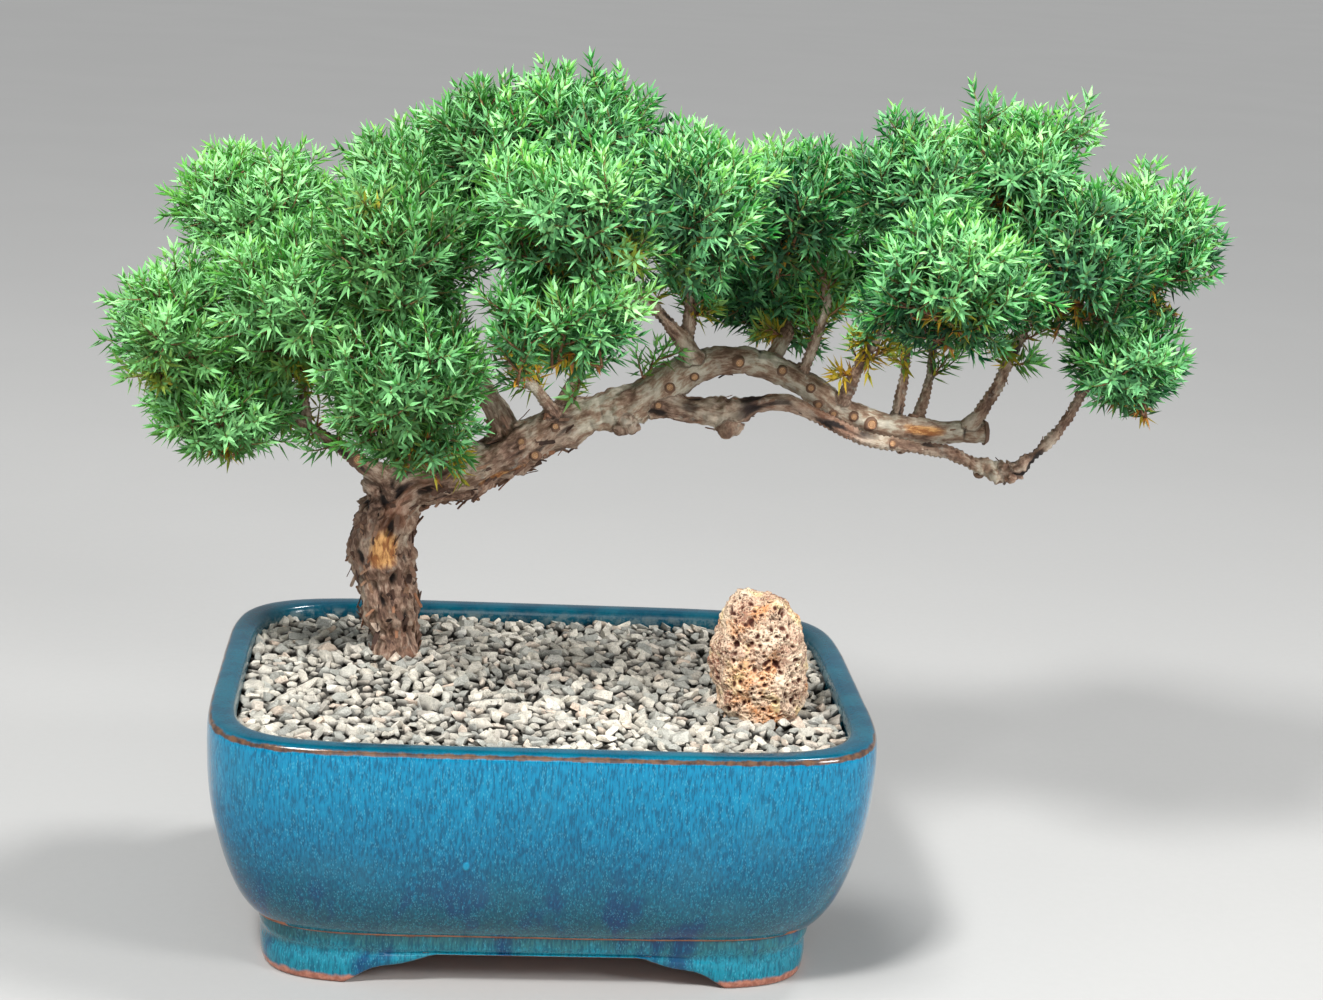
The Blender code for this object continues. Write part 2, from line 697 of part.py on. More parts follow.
def centre_on_floor():
    """Puts the middle of the whole plant over the origin."""
    bpy.context.view_layer.update()
    graph = bpy.context.evaluated_depsgraph_get()
    low = Vector((1.0, 1.0, 1.0))
    high = -low
    for obj in bpy.context.scene.objects:
        if obj.hide_render:
            continue
        for corner in obj.evaluated_get(graph).bound_box:
            low = Vector(map(min, low, corner))
            high = Vector(map(max, high, corner))
    shift = Vector(((low.x + high.x) / 2, (low.y + high.y) / 2, low.z))
    for obj in bpy.context.scene.objects:
        obj.location -= shift


def main():
    for obj in list(bpy.data.objects):
        bpy.data.objects.remove(obj)
    build_pot()
    screens = [
        build_screen("drainage_screen_left", -DRAIN_HOLE_SPACING / 2),
        build_screen("drainage_screen_right", DRAIN_HOLE_SPACING / 2),
    ]
    build_tree("trunk_and_branches", BARK, 0.0)
    fat_trunk = make_cutter(build_tree("branch_clearance", None, BARK_CLEARANCE))
    add_object("lava_rock", rock_mesh(0.0), LAVA, 60.0)
    rock_clearance = make_cutter(add_object("rock_clearance", rock_mesh(2 * SEAT_GAP), None))
    build_gravel((fat_trunk, rock_clearance))
    build_soil(screens, fat_trunk)
    build_pads(fat_trunk)
    centre_on_floor()


main()
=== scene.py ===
import bpy
import math
import random
import numpy as np
from mathutils import Matrix, Vector, noise
from mathutils.bvhtree import BVHTree
from mathutils.kdtree import KDTree


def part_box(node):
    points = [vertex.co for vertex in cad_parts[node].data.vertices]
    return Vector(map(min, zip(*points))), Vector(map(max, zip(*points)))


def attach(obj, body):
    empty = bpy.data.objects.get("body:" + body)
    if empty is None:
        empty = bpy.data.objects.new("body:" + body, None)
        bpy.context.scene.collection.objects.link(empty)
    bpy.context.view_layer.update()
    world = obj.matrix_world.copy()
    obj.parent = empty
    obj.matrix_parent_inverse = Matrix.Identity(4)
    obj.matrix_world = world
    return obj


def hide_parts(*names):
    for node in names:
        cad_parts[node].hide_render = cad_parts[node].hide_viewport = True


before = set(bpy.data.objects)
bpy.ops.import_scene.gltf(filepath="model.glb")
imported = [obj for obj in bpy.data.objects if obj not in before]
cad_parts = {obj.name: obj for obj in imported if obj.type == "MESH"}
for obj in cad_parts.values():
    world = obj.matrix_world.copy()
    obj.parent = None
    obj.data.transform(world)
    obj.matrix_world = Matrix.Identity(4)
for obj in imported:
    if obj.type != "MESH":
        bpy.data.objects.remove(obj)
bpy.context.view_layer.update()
print("frame loaded:", len(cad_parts), "parts")
noise.seed_set(5)  # otherwise noise vectors change from run to run


def boxCentre(node):
    low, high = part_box(node)
    return (Vector(low) + Vector(high)) / 2


potMiddle = boxCentre("pot")
trunkOffset = (-0.065, 0.031)  # from the middle of the pot
trunkFoot = Vector((potMiddle.x + trunkOffset[0], potMiddle.y + trunkOffset[1], 0.1101))  # at gravel level


def deselectAll():
    if bpy.context.mode != "OBJECT":
        bpy.ops.object.mode_set(mode="OBJECT")
    bpy.ops.object.select_all(action="DESELECT")


def pick(obj):
    deselectAll()
    obj.select_set(True)
    bpy.context.view_layer.objects.active = obj


def editNothingSelected(obj):
    pick(obj)
    bpy.ops.object.mode_set(mode="EDIT")
    bpy.ops.mesh.select_all(action="DESELECT")
    bpy.ops.object.mode_set(mode="OBJECT")


def selectVerts(obj, test):
    editNothingSelected(obj)
    for vert in obj.data.vertices:
        vert.select = test(vert.co)
    bpy.ops.object.mode_set(mode="EDIT")


def applyModifiers(obj):
    pick(obj)
    for name in [modifier.name for modifier in obj.modifiers]:
        bpy.ops.object.modifier_apply(modifier=name)


def applyPlace(obj):
    pick(obj)
    bpy.ops.object.transform_apply(location=True, rotation=True, scale=True)


def copyOfNode(node, name):
    deselectAll()
    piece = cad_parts[node].copy()
    piece.data = piece.data.copy()
    piece.name = name
    bpy.context.scene.collection.objects.link(piece)
    for key in list(piece.keys()):
        del piece[key]
    piece.parent = None
    piece.matrix_world = Matrix.Identity(4)
    piece.data.materials.clear()
    pick(piece)
    bpy.ops.object.mode_set(mode="EDIT")
    bpy.ops.mesh.select_all(action="SELECT")
    bpy.ops.mesh.remove_doubles(threshold=0.000002)
    bpy.ops.object.mode_set(mode="OBJECT")
    return piece


def shareOut(piece, nodes, material=None):
    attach(piece, "root")
    if nodes:
        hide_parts(*nodes)
    if material:
        piece.data.materials.append(material)
    return piece


def clampUnit(value):
    return min(1.0, max(0.0, value))


def onCurve(before, start, end, after, t):
    # a smooth curve from start to end that heads on to the points before and after them
    bend = (2 * before - 5 * start + 4 * end - after) * t * t
    return 0.5 * (2 * start + (end - before) * t + bend + (3 * start - before - 3 * end + after) * t ** 3)


def vertexArray(mesh):
    flat = np.empty(len(mesh.vertices) * 3, np.float32)
    mesh.vertices.foreach_get("co", flat)
    return flat.reshape(-1, 3).astype(np.float64)


def putAttribute(mesh, name, kind, domain, values):
    layer = mesh.attributes.new(name, kind, domain)
    key = "vector" if kind == "FLOAT_VECTOR" else "value"
    layer.data.foreach_set(key, np.asarray(values, np.float32).ravel())


def meshFromTriangles(name, points, triangles, smooth=True):
    mesh = bpy.data.meshes.new(name)
    mesh.vertices.add(len(points))
    mesh.vertices.foreach_set("co", np.asarray(points, np.float32).ravel())
    mesh.loops.add(3 * len(triangles))
    mesh.loops.foreach_set("vertex_index", np.asarray(triangles, np.int32).ravel())
    mesh.polygons.add(len(triangles))
    mesh.polygons.foreach_set("loop_start", np.arange(0, 3 * len(triangles), 3, dtype=np.int32))
    mesh.polygons.foreach_set("use_smooth", np.full(len(triangles), smooth))
    mesh.update(calc_edges=True)
    piece = bpy.data.objects.new(name, mesh)
    bpy.context.scene.collection.objects.link(piece)
    return piece


def sourceArrays(obj):
    mesh = obj.data
    mesh.calc_loop_triangles()
    faces = np.empty(len(mesh.loop_triangles) * 3, np.int32)
    mesh.loop_triangles.foreach_get("vertices", faces)
    return vertexArray(mesh), faces.reshape(-1, 3)


def turnTo(direction, up):
    # one turn per copy: x along the direction, z as near to up as it goes
    x = direction / np.linalg.norm(direction, axis=1, keepdims=True)
    z = up - (up * x).sum(1, keepdims=True) * x
    z /= np.maximum(np.linalg.norm(z, axis=1, keepdims=True), 1e-9)
    return np.stack([x, np.cross(z, x), z], axis=2)


def copyAll(name, source, turns, sizes, places, smooth=True):
    # every copy is the source scaled by its sizes, turned and put in its place
    points, faces = source
    scaled = points[None, :, :] * sizes[:, None, :]
    placed = np.einsum("nij,nkj->nki", turns, scaled) + places[:, None, :]
    count = len(places)
    shift = (np.arange(count) * len(points))[:, None, None]
    piece = meshFromTriangles(name, placed.reshape(-1, 3), (faces[None] + shift).reshape(-1, 3), smooth)
    return piece, len(points)


def colour(red, green, blue):
    # a colour mixed on a 0 to 255 screen scale
    parts = [channel / 255 for channel in (red, green, blue)]
    return tuple(p / 12.92 if p <= 0.04045 else ((p + 0.055) / 1.055) ** 2.4 for p in parts) + (1.0,)


def feed(tree, socket, value):
    if value is None:
        return
    if isinstance(value, bpy.types.NodeSocket):
        tree.links.new(value, socket)
    else:
        socket.default_value = value


def addNoise(tree, place, scale, detail=4.0, rough=0.6, twist=0.0):
    node = tree.nodes.new("ShaderNodeTexNoise")
    feed(tree, node.inputs["Vector"], place)
    feed(tree, node.inputs["Scale"], scale)
    node.inputs["Detail"].default_value = detail
    node.inputs["Roughness"].default_value = rough
    node.inputs["Distortion"].default_value = twist
    return node.outputs["Fac"]


def addCells(tree, place, scale):
    node = tree.nodes.new("ShaderNodeTexVoronoi")
    feed(tree, node.inputs["Vector"], place)
    feed(tree, node.inputs["Scale"], scale)
    return node.outputs["Distance"]


def addMath(tree, way, first, second=None, third=None, clamp=False):
    node = tree.nodes.new("ShaderNodeMath")
    node.operation = way
    node.use_clamp = clamp
    for socket, value in zip(node.inputs, (first, second, third)):
        feed(tree, socket, value)
    return node.outputs[0]


def addRange(tree, value, low, high, toLow=0.0, toHigh=1.0):
    node = tree.nodes.new("ShaderNodeMapRange")
    node.interpolation_type = "SMOOTHSTEP"
    feed(tree, node.inputs["Value"], value)
    for name, number in (("From Min", low), ("From Max", high), ("To Min", toLow), ("To Max", toHigh)):
        feed(tree, node.inputs[name], number)
    return node.outputs["Result"]


def addMix(tree, amount, first, second, way="MIX"):
    node = tree.nodes.new("ShaderNodeMix")
    node.data_type = "RGBA"
    node.blend_type = way
    node.clamp_factor = True
    feed(tree, node.inputs[0], amount)
    for socket, value in ((node.inputs[6], first), (node.inputs[7], second)):
        feed(tree, socket, value)
    return node.outputs[2]


def layOver(tree, base, mask, strength, tone):
    return addMix(tree, addMath(tree, "MULTIPLY", mask, strength), base, tone)


def addBlotches(tree, place, scale, low, high, detail=4.0, rough=0.6):
    return addRange(tree, addNoise(tree, place, scale, detail, rough), low, high)


def addRamp(tree, amount, stops):
    node = tree.nodes.new("ShaderNodeValToRGB")
    band = node.color_ramp
    while len(band.elements) < len(stops):
        band.elements.new(0.5)
    for element, (position, tone) in zip(band.elements, stops):
        element.position = position
        element.color = tone
    feed(tree, node.inputs["Fac"], amount)
    return node.outputs["Color"]


def addMapping(tree, place, scale, location=(0, 0, 0)):
    node = tree.nodes.new("ShaderNodeMapping")
    feed(tree, node.inputs["Vector"], place)
    node.inputs["Scale"].default_value = scale
    node.inputs["Location"].default_value = location
    return node.outputs["Vector"]


def addAttribute(tree, name, output="Fac"):
    node = tree.nodes.new("ShaderNodeAttribute")
    node.attribute_name = name
    return node.outputs[output]


def addBump(tree, height, distance, strength):
    node = tree.nodes.new("ShaderNodeBump")
    feed(tree, node.inputs["Height"], height)
    node.inputs["Distance"].default_value = distance
    node.inputs["Strength"].default_value = strength
    return node.outputs["Normal"]


def startMaterial(name, roughness):
    material = bpy.data.materials.new(name)
    material.use_nodes = True
    tree = material.node_tree
    shader = tree.nodes["Principled BSDF"]
    shader.inputs["Roughness"].default_value = roughness
    place = tree.nodes.new("ShaderNodeTexCoord").outputs["Object"]
    return material, tree, shader, place


def startGroup(name, inputs, outputs):
    group = bpy.data.node_groups.new(name, "ShaderNodeTree")
    for label, kind, value in inputs:
        socket = group.interface.new_socket(label, in_out="INPUT", socket_type=kind)
        if value is not None:
            socket.default_value = value
    for label, kind in outputs:
        group.interface.new_socket(label, in_out="OUTPUT", socket_type=kind)
    return group, group.nodes.new("NodeGroupInput").outputs, group.nodes.new("NodeGroupOutput").inputs


def useGroup(tree, group, **values):
    node = tree.nodes.new("ShaderNodeGroup")
    node.node_tree = group
    for label, value in values.items():
        feed(tree, node.inputs[label], value)
    return node.outputs


def makeMottle():
    # two tones in soft blotches with finer grain in them, for anything mineral or earthy
    group, given, result = startGroup(
        "twoToneMottle",
        [("Place", "NodeSocketVector", None), ("Scale", "NodeSocketFloat", 60.0),
         ("Grain", "NodeSocketFloat", 600.0), ("Dark", "NodeSocketColor", (0.1, 0.1, 0.1, 1)),
         ("Light", "NodeSocketColor", (0.5, 0.5, 0.5, 1))],
        [("Tone", "NodeSocketColor"), ("Mask", "NodeSocketFloat"), ("Height", "NodeSocketFloat")])
    broad = addNoise(group, given["Place"], given["Scale"], 5.0, 0.6)
    fine = addNoise(group, given["Place"], given["Grain"], 3.0, 0.7)
    both = addMath(group, "MULTIPLY_ADD", fine, 0.45, addMath(group, "MULTIPLY", broad, 0.75))
    mask = addRange(group, both, 0.42, 0.78)
    feed(group, result["Tone"], addMix(group, mask, given["Dark"], given["Light"]))
    feed(group, result["Mask"], mask)
    feed(group, result["Height"], both)
    return group


def makeSpecks():
    # small round specks of uneven strength, for mineral grains, dust and pores
    group, given, result = startGroup(
        "scatteredSpecks",
        [("Place", "NodeSocketVector", None), ("Scale", "NodeSocketFloat", 500.0),
         ("Size", "NodeSocketFloat", 0.3), ("Share", "NodeSocketFloat", 0.5)],
        [("Mask", "NodeSocketFloat")])
    inner = addMath(group, "MULTIPLY", given["Size"], 0.5)
    dot = addRange(group, addCells(group, given["Place"], given["Scale"]), given["Size"], inner)
    coarser = addMath(group, "MULTIPLY", given["Scale"], 0.23)
    lot = addMath(group, "LESS_THAN", given["Share"], addNoise(group, given["Place"], coarser, 2.0))
    feed(group, result["Mask"], addMath(group, "MULTIPLY", dot, lot))
    return group


mottle = makeMottle()
specks = makeSpecks()


def makeGlaze():
    material, tree, shader, place = startMaterial("tealGlaze", 0.12)
    height = tree.nodes.new("ShaderNodeSeparateXYZ")
    feed(tree, height.inputs[0], place)
    up = height.outputs["Z"]
    pulled = addMapping(tree, place, (1.0, 1.0, 0.16))  # runs of glaze are long and narrow
    fineRuns = addNoise(tree, pulled, 1150.0, 3.0, 0.6)
    broadRuns = addNoise(tree, pulled, 46.0, 4.0, 0.6)
    clouds = addNoise(tree, place, 30.0, 4.0, 0.6)
    wobble = addMath(tree, "MULTIPLY_ADD", addMath(tree, "SUBTRACT", clouds, 0.5), 0.016, up)
    wobble = addMath(tree, "MULTIPLY_ADD", addMath(tree, "SUBTRACT", broadRuns, 0.5), 0.026, wobble)
    level = addMath(tree, "DIVIDE", wobble, potShape["height"])
    body = addRamp(tree, level, [
        (0.00, colour(18, 116, 134)), (0.11, colour(20, 126, 146)), (0.17, colour(44, 110, 116)),
        (0.26, colour(24, 80, 92)), (0.42, colour(4, 86, 110)), (0.62, colour(0, 102, 138)),
        (0.84, colour(0, 118, 156)), (1.00, colour(0, 120, 158))])
    patches = addBlotches(tree, addMapping(tree, place, (1, 1, 0.42)), 44.0, 0.50, 0.64, 3.0)
    low = addRange(tree, up, 0.075, 0.030)
    body = layOver(tree, body, patches, addMath(tree, "MULTIPLY", low, 0.85), colour(10, 48, 98))
    darkRuns = addRange(tree, fineRuns, 0.54, 0.38)
    body = layOver(tree, body, darkRuns, 0.60, colour(0, 58, 88))
    lightRuns = addRange(tree, fineRuns, 0.55, 0.68)
    body = layOver(tree, body, lightRuns, 0.34, colour(18, 148, 182))
    flecks = useGroup(tree, specks, Place=addMapping(tree, place, (1, 1, 0.32)), Scale=1500.0,
                      Size=0.40, Share=0.50)["Mask"]
    body = layOver(tree, body, flecks, 0.30, colour(84, 178, 200))
    haze = addBlotches(tree, place, 24.0, 0.50, 0.72, 3.0)
    body = layOver(tree, body, haze, 0.16, colour(56, 124, 142))
    # one drop of glaze set on the front face
    aside = tree.nodes.new("ShaderNodeVectorMath")
    aside.operation = "LENGTH"
    left, lift = potShape["glazeDrop"]
    feed(tree, aside.inputs[0], addMapping(tree, place, (1, 0, 0.7), (left - potMiddle.x, 0, -lift)))
    drop = addMath(tree, "MULTIPLY", addRange(tree, aside.outputs["Value"], 0.0018, 0.0009),
                   addRange(tree, addMapping(tree, place, (0, -1, 0)), 0.0, 0.02))
    body = layOver(tree, body, drop, 0.7, colour(14, 150, 188))
    insideTone = addMix(tree, addRange(tree, broadRuns, 0.4, 0.62), colour(0, 64, 82), colour(4, 84, 100))
    body = layOver(tree, body, addAttribute(tree, "inside"), 0.86, insideTone)
    # glaze runs thin over sharp edges, and the clay shows brown there
    unevenness = addMath(tree, "SUBTRACT", addNoise(tree, place, 160.0), 0.5)
    broken = addMath(tree, "MULTIPLY_ADD", unevenness, 0.9, addAttribute(tree, "thinGlaze"))
    edge = addRange(tree, broken, 0.44, 0.74)
    crumbly = addBlotches(tree, place, 300.0, 0.35, 0.65)
    brown = addMix(tree, crumbly, colour(66, 42, 26), colour(108, 74, 46))
    gritty = addBlotches(tree, place, 420.0, 0.35, 0.65)
    clay = addMix(tree, gritty, colour(150, 88, 66), colour(188, 122, 98))
    brown = addMix(tree, addRange(tree, up, 0.010, 0.006), brown, clay)  # unglazed soles
    body = layOver(tree, body, edge, 0.94, brown)
    crust = addMath(tree, "MULTIPLY", addAttribute(tree, "limeLine"),
                    addBlotches(tree, place, 190.0, 0.40, 0.62, 5.0, 0.7))
    body = layOver(tree, body, crust, 0.50, colour(150, 162, 158))
    feed(tree, shader.inputs["Base Color"], body)
    gloss = addRange(tree, addNoise(tree, place, 70.0, 3.0), 0.3, 0.7, 0.10, 0.19)
    feed(tree, shader.inputs["Roughness"], addMath(tree, "MULTIPLY_ADD", crust, 0.45, gloss))
    feed(tree, shader.inputs["Coat Weight"], addMath(tree, "MULTIPLY_ADD", crust, -0.2, 0.24, clamp=True))
    shader.inputs["Coat Roughness"].default_value = 0.05
    shader.inputs["Specular IOR Level"].default_value = 0.26
    ripples = addMath(tree, "MULTIPLY_ADD", fineRuns, 0.3, addNoise(tree, place, 120.0, 3.0))
    ripples = addMath(tree, "MULTIPLY_ADD", drop, 6.0, ripples)
    feed(tree, shader.inputs["Normal"], addBump(tree, ripples, 0.00022, 0.55))
    return material


def makeBareClay():
    material, tree, shader, place = startMaterial("bareClay", 0.85)
    made = useGroup(tree, mottle, Place=place, Scale=90.0, Grain=1400.0,
                    Dark=colour(132, 72, 48), Light=colour(186, 118, 84))
    grit = useGroup(tree, specks, Place=place, Scale=700.0, Size=0.35, Share=0.52)["Mask"]
    feed(tree, shader.inputs["Base Color"], addMix(tree, grit, made["Tone"], colour(96, 62, 50)))
    feed(tree, shader.inputs["Normal"], addBump(tree, made["Height"], 0.0004, 0.6))
    return material


def makeChips():
    material, tree, shader, place = startMaterial("gravelChips", 0.88)
    tint = addAttribute(tree, "tint")
    base = addRamp(tree, tint, [
        (0.00, colour(158, 158, 151)), (0.18, colour(186, 185, 176)), (0.40, colour(207, 201, 188)),
        (0.60, colour(221, 214, 200)), (0.78, colour(231, 223, 208)), (0.86, colour(222, 200, 180)),
        (0.91, colour(210, 204, 192)), (0.96, colour(174, 166, 154)), (1.00, colour(242, 238, 228))])
    made = useGroup(tree, mottle, Place=place, Scale=260.0, Grain=1500.0,
                    Dark=(0.58, 0.58, 0.57, 1), Light=(1.10, 1.10, 1.09, 1))
    base = addMix(tree, 0.85, base, made["Tone"], "MULTIPLY")
    dots = useGroup(tree, specks, Place=place, Scale=1500.0, Size=0.40, Share=0.50)["Mask"]
    base = layOver(tree, base, dots, 0.6, colour(74, 70, 66))
    pale = useGroup(tree, specks, Place=addMapping(tree, place, (1, 1, 1), (0.3, 0.1, 0.2)), Scale=1200.0,
                    Size=0.34, Share=0.54)["Mask"]
    base = layOver(tree, base, pale, 0.5, colour(226, 222, 214))
    deep = addRange(tree, addAttribute(tree, "deep"), 0.10, 0.66)  # painted shade down between the chips
    base = layOver(tree, base, deep, 0.92, colour(40, 37, 32))
    feed(tree, shader.inputs["Base Color"], base)
    feed(tree, shader.inputs["Roughness"], addRange(tree, made["Mask"], 0.0, 1.0, 0.95, 0.78))
    feed(tree, shader.inputs["Normal"], addBump(tree, made["Height"], 0.0005, 0.7))
    return material


def makeBed():
    material, tree, shader, place = startMaterial("darkBed", 0.95)
    # the bed is coloured near-black as painted shade in the gaps between the chips
    made = useGroup(tree, mottle, Place=place, Scale=170.0, Grain=900.0,
                    Dark=colour(30, 26, 22), Light=colour(86, 80, 70))
    feed(tree, shader.inputs["Base Color"], made["Tone"])
    feed(tree, shader.inputs["Normal"], addBump(tree, made["Height"], 0.0012, 0.9))
    return material


def makeSoil():
    material, tree, shader, place = startMaterial("rootSoil", 0.95)
    made = useGroup(tree, mottle, Place=place, Scale=130.0, Grain=700.0,
                    Dark=colour(38, 27, 20), Light=colour(88, 66, 48))
    white = useGroup(tree, specks, Place=place, Scale=260.0, Size=0.28, Share=0.55)["Mask"]
    feed(tree, shader.inputs["Base Color"], layOver(tree, made["Tone"], white, 0.8, colour(196, 190, 178)))
    feed(tree, shader.inputs["Normal"], addBump(tree, made["Height"], 0.0015, 0.9))
    return material


def makeScreenPlastic():
    material, tree, shader, place = startMaterial("blackMeshPlastic", 0.5)
    made = useGroup(tree, mottle, Place=place, Scale=220.0, Grain=1800.0,
                    Dark=colour(20, 21, 22), Light=colour(44, 45, 46))
    dust = addBlotches(tree, place, 260.0, 0.56, 0.74, 5.0, 0.7)
    feed(tree, shader.inputs["Base Color"], layOver(tree, made["Tone"], dust, 0.4, colour(98, 84, 66)))
    feed(tree, shader.inputs["Roughness"], addRange(tree, dust, 0.0, 1.0, 0.42, 0.8))
    feed(tree, shader.inputs["Normal"], addBump(tree, made["Height"], 0.00015, 0.5))
    return material


def makeLava():
    material, tree, shader, place = startMaterial("lavaStone", 0.92)
    made = useGroup(tree, mottle, Place=place, Scale=75.0, Grain=900.0,
                    Dark=colour(156, 108, 86), Light=colour(242, 220, 192))
    rust = addBlotches(tree, addMapping(tree, place, (1, 1, 0.8), (0.2, 0, 0)), 62.0, 0.50, 0.66, 5.0)
    body = layOver(tree, made["Tone"], rust, 0.70, colour(216, 144, 82))
    yellow = addBlotches(tree, addMapping(tree, place, (1, 1, 1), (0.7, 0.4, 0)), 90.0, 0.56, 0.68)
    body = layOver(tree, body, yellow, 0.65, colour(236, 212, 150))
    pore = addAttribute(tree, "pore")
    # the dark inside of each pore is painted shade in the hole
    body = addMix(tree, addRange(tree, pore, 0.16, 0.62), body, colour(78, 34, 20))
    # a pale ring round each pore's lip as a painted highlight
    rim = addMath(tree, "MULTIPLY", addRange(tree, pore, 0.0, 0.05), addRange(tree, pore, 0.22, 0.10))
    body = layOver(tree, body, rim, 0.45, colour(238, 216, 184))
    tiny = useGroup(tree, specks, Place=place, Scale=1100.0, Size=0.42, Share=0.47)["Mask"]
    body = layOver(tree, body, tiny, 0.75, colour(74, 38, 28))
    feed(tree, shader.inputs["Base Color"], body)
    height = addMath(tree, "MULTIPLY_ADD", tiny, -0.8, made["Height"])
    feed(tree, shader.inputs["Normal"], addBump(tree, height, 0.0007, 0.9))
    return material


def makeBark():
    material, tree, shader, place = startMaterial("juniperBark", 0.85)
    along = addAttribute(tree, "barkPlace", "Vector")  # stretched down each limb
    shaggy = addAttribute(tree, "shaggy")
    crevice = addAttribute(tree, "crevice")
    strips = addNoise(tree, addMapping(tree, along, (1, 1, 0.28)), 620.0, 5.0, 0.7, 0.4)
    plates = addNoise(tree, addMapping(tree, along, (1, 1, 0.6)), 150.0, 4.0, 0.65)
    roughTone = addMath(tree, "MULTIPLY_ADD", strips, 0.6, addMath(tree, "MULTIPLY", plates, 0.4))
    rough = addRamp(tree, roughTone, [
        (0.32, colour(44, 30, 24)), (0.42, colour(88, 64, 52)), (0.50, colour(132, 102, 84)),
        (0.57, colour(166, 138, 118)), (0.68, colour(206, 184, 164))])
    red = addBlotches(tree, addMapping(tree, along, (1, 1, 0.25), (0.5, 0, 0)), 95.0, 0.54, 0.68)
    rough = layOver(tree, rough, red, 0.45, colour(138, 86, 58))
    smoothTone = addMath(tree, "MULTIPLY_ADD", strips, 0.35, addMath(tree, "MULTIPLY", plates, 0.65))
    smooth = addRamp(tree, smoothTone, [
        (0.33, colour(80, 58, 46)), (0.42, colour(128, 100, 80)), (0.48, colour(158, 134, 112)),
        (0.54, colour(186, 176, 156)), (0.68, colour(222, 214, 196))])
    body = addMix(tree, shaggy, smooth, rough)
    # painted shade: the crevices between the bark strips and the cracks are darkened to near black
    body = addMix(tree, addRange(tree, crevice, 0.35, 0.95), body, colour(30, 18, 14))
    lichen = addMath(tree, "MULTIPLY", addBlotches(tree, place, 120.0, 0.56, 0.70, 5.0, 0.7),
                     addRange(tree, crevice, 0.5, 0.1))
    body = layOver(tree, body, lichen, 0.45, colour(176, 176, 164))
    torn = addMix(tree, addRange(tree, strips, 0.42, 0.62), colour(150, 92, 48), colour(222, 168, 104))
    body = addMix(tree, addAttribute(tree, "freshWood"), body, torn)
    feed(tree, shader.inputs["Base Color"], body)
    feed(tree, shader.inputs["Roughness"], addRange(tree, plates, 0.3, 0.7, 0.9, 0.66))
    relief = addMath(tree, "MULTIPLY_ADD", plates, 0.6, strips)
    feed(tree, shader.inputs["Normal"], addBump(tree, relief, 0.0011, 0.9))
    return material


def makeFlakes():
    material, tree, shader, place = startMaterial("peelingBark", 0.85)
    tint = addAttribute(tree, "tint")
    base = addRamp(tree, tint, [
        (0.0, colour(54, 36, 28)), (0.35, colour(100, 72, 58)), (0.6, colour(138, 106, 86)),
        (0.8, colour(168, 132, 106)), (0.93, colour(146, 96, 66)), (1.0, colour(196, 178, 160))])
    made = useGroup(tree, mottle, Place=place, Scale=300.0, Grain=1800.0,
                    Dark=(0.45, 0.43, 0.42, 1), Light=(1.1, 1.08, 1.05, 1))
    feed(tree, shader.inputs["Base Color"], addMix(tree, 0.9, base, made["Tone"], "MULTIPLY"))
    feed(tree, shader.inputs["Normal"], addBump(tree, made["Height"], 0.0004, 0.8))
    return material


def makeCutWood():
    material, tree, shader, place = startMaterial("prunedWood", 0.8)
    ring = addAttribute(tree, "ringPlace")
    waves = addMath(tree, "SINE", addMath(tree, "MULTIPLY", ring, 26.0))
    wood = addMix(tree, addRange(tree, waves, -1.0, 1.0), colour(146, 98, 64), colour(212, 172, 128))
    made = useGroup(tree, mottle, Place=place, Scale=400.0, Grain=1600.0,
                    Dark=(0.55, 0.52, 0.5, 1), Light=(1.08, 1.06, 1.04, 1))
    wood = addMix(tree, 0.8, wood, made["Tone"], "MULTIPLY")
    wood = addMix(tree, addRange(tree, ring, 0.60, 0.84), wood, colour(112, 84, 66))
    wood = addMix(tree, addRange(tree, ring, 0.34, 0.10), wood, colour(92, 54, 34))
    feed(tree, shader.inputs["Base Color"], wood)
    feed(tree, shader.inputs["Normal"], addBump(tree, made["Height"], 0.0004, 0.8))
    return material


def makeNeedles():
    material, tree, shader, place = startMaterial("juniperNeedles", 0.42)
    tint = addAttribute(tree, "tint")
    along = addAttribute(tree, "along")
    age = addAttribute(tree, "age")
    side = addAttribute(tree, "sunSide")
    top = addAttribute(tree, "bloomAndGlintSide")
    # the tint holds random tone and also painted light and shade: shoots facing up are lighter, needles deep
    # in the pad darker
    green = addRamp(tree, tint, [
        (0.00, colour(6, 42, 12)), (0.26, colour(18, 84, 30)), (0.50, colour(48, 138, 52)),
        (0.74, colour(96, 184, 80)), (1.00, colour(164, 230, 114))])
    # the left side of the tree is painted lighter and yellower: painted light on the side the lamps fall on
    green = layOver(tree, green, side, 0.34, colour(138, 202, 84))
    tip = addRange(tree, along, 0.45, 1.0)
    green = layOver(tree, green, tip, addRange(tree, tint, 0.2, 0.7, 0.06, 0.50), colour(150, 226, 126))
    blotch = addBlotches(tree, place, 55.0, 0.38, 0.64, 3.0)
    green = layOver(tree, green, blotch, 0.22, colour(24, 110, 82))
    # whitish stomatal bands on the needles' flat upper faces, made stronger on lighter needles as a painted
    # glint
    bloomAndGlint = addMath(tree, "MULTIPLY", top, addRange(tree, tint, 0.1, 0.9, 0.06, 0.38))
    green = addMix(tree, bloomAndGlint, green, colour(176, 230, 186))
    old = addRamp(tree, age, [
        (0.0, colour(60, 130, 60)), (0.35, colour(120, 140, 46)), (0.6, colour(196, 164, 48)),
        (0.8, colour(176, 116, 44)), (1.0, colour(112, 72, 44))])
    body = addMix(tree, addRange(tree, age, 0.12, 0.40), green, old)
    body = addMix(tree, addRange(tree, along, 0.22, 0.0), body, colour(70, 96, 44))
    feed(tree, shader.inputs["Base Color"], body)
    feed(tree, shader.inputs["Roughness"], addRange(tree, top, 0.0, 1.0, 0.42, 0.58))
    shader.inputs["Specular IOR Level"].default_value = 0.24
    return material


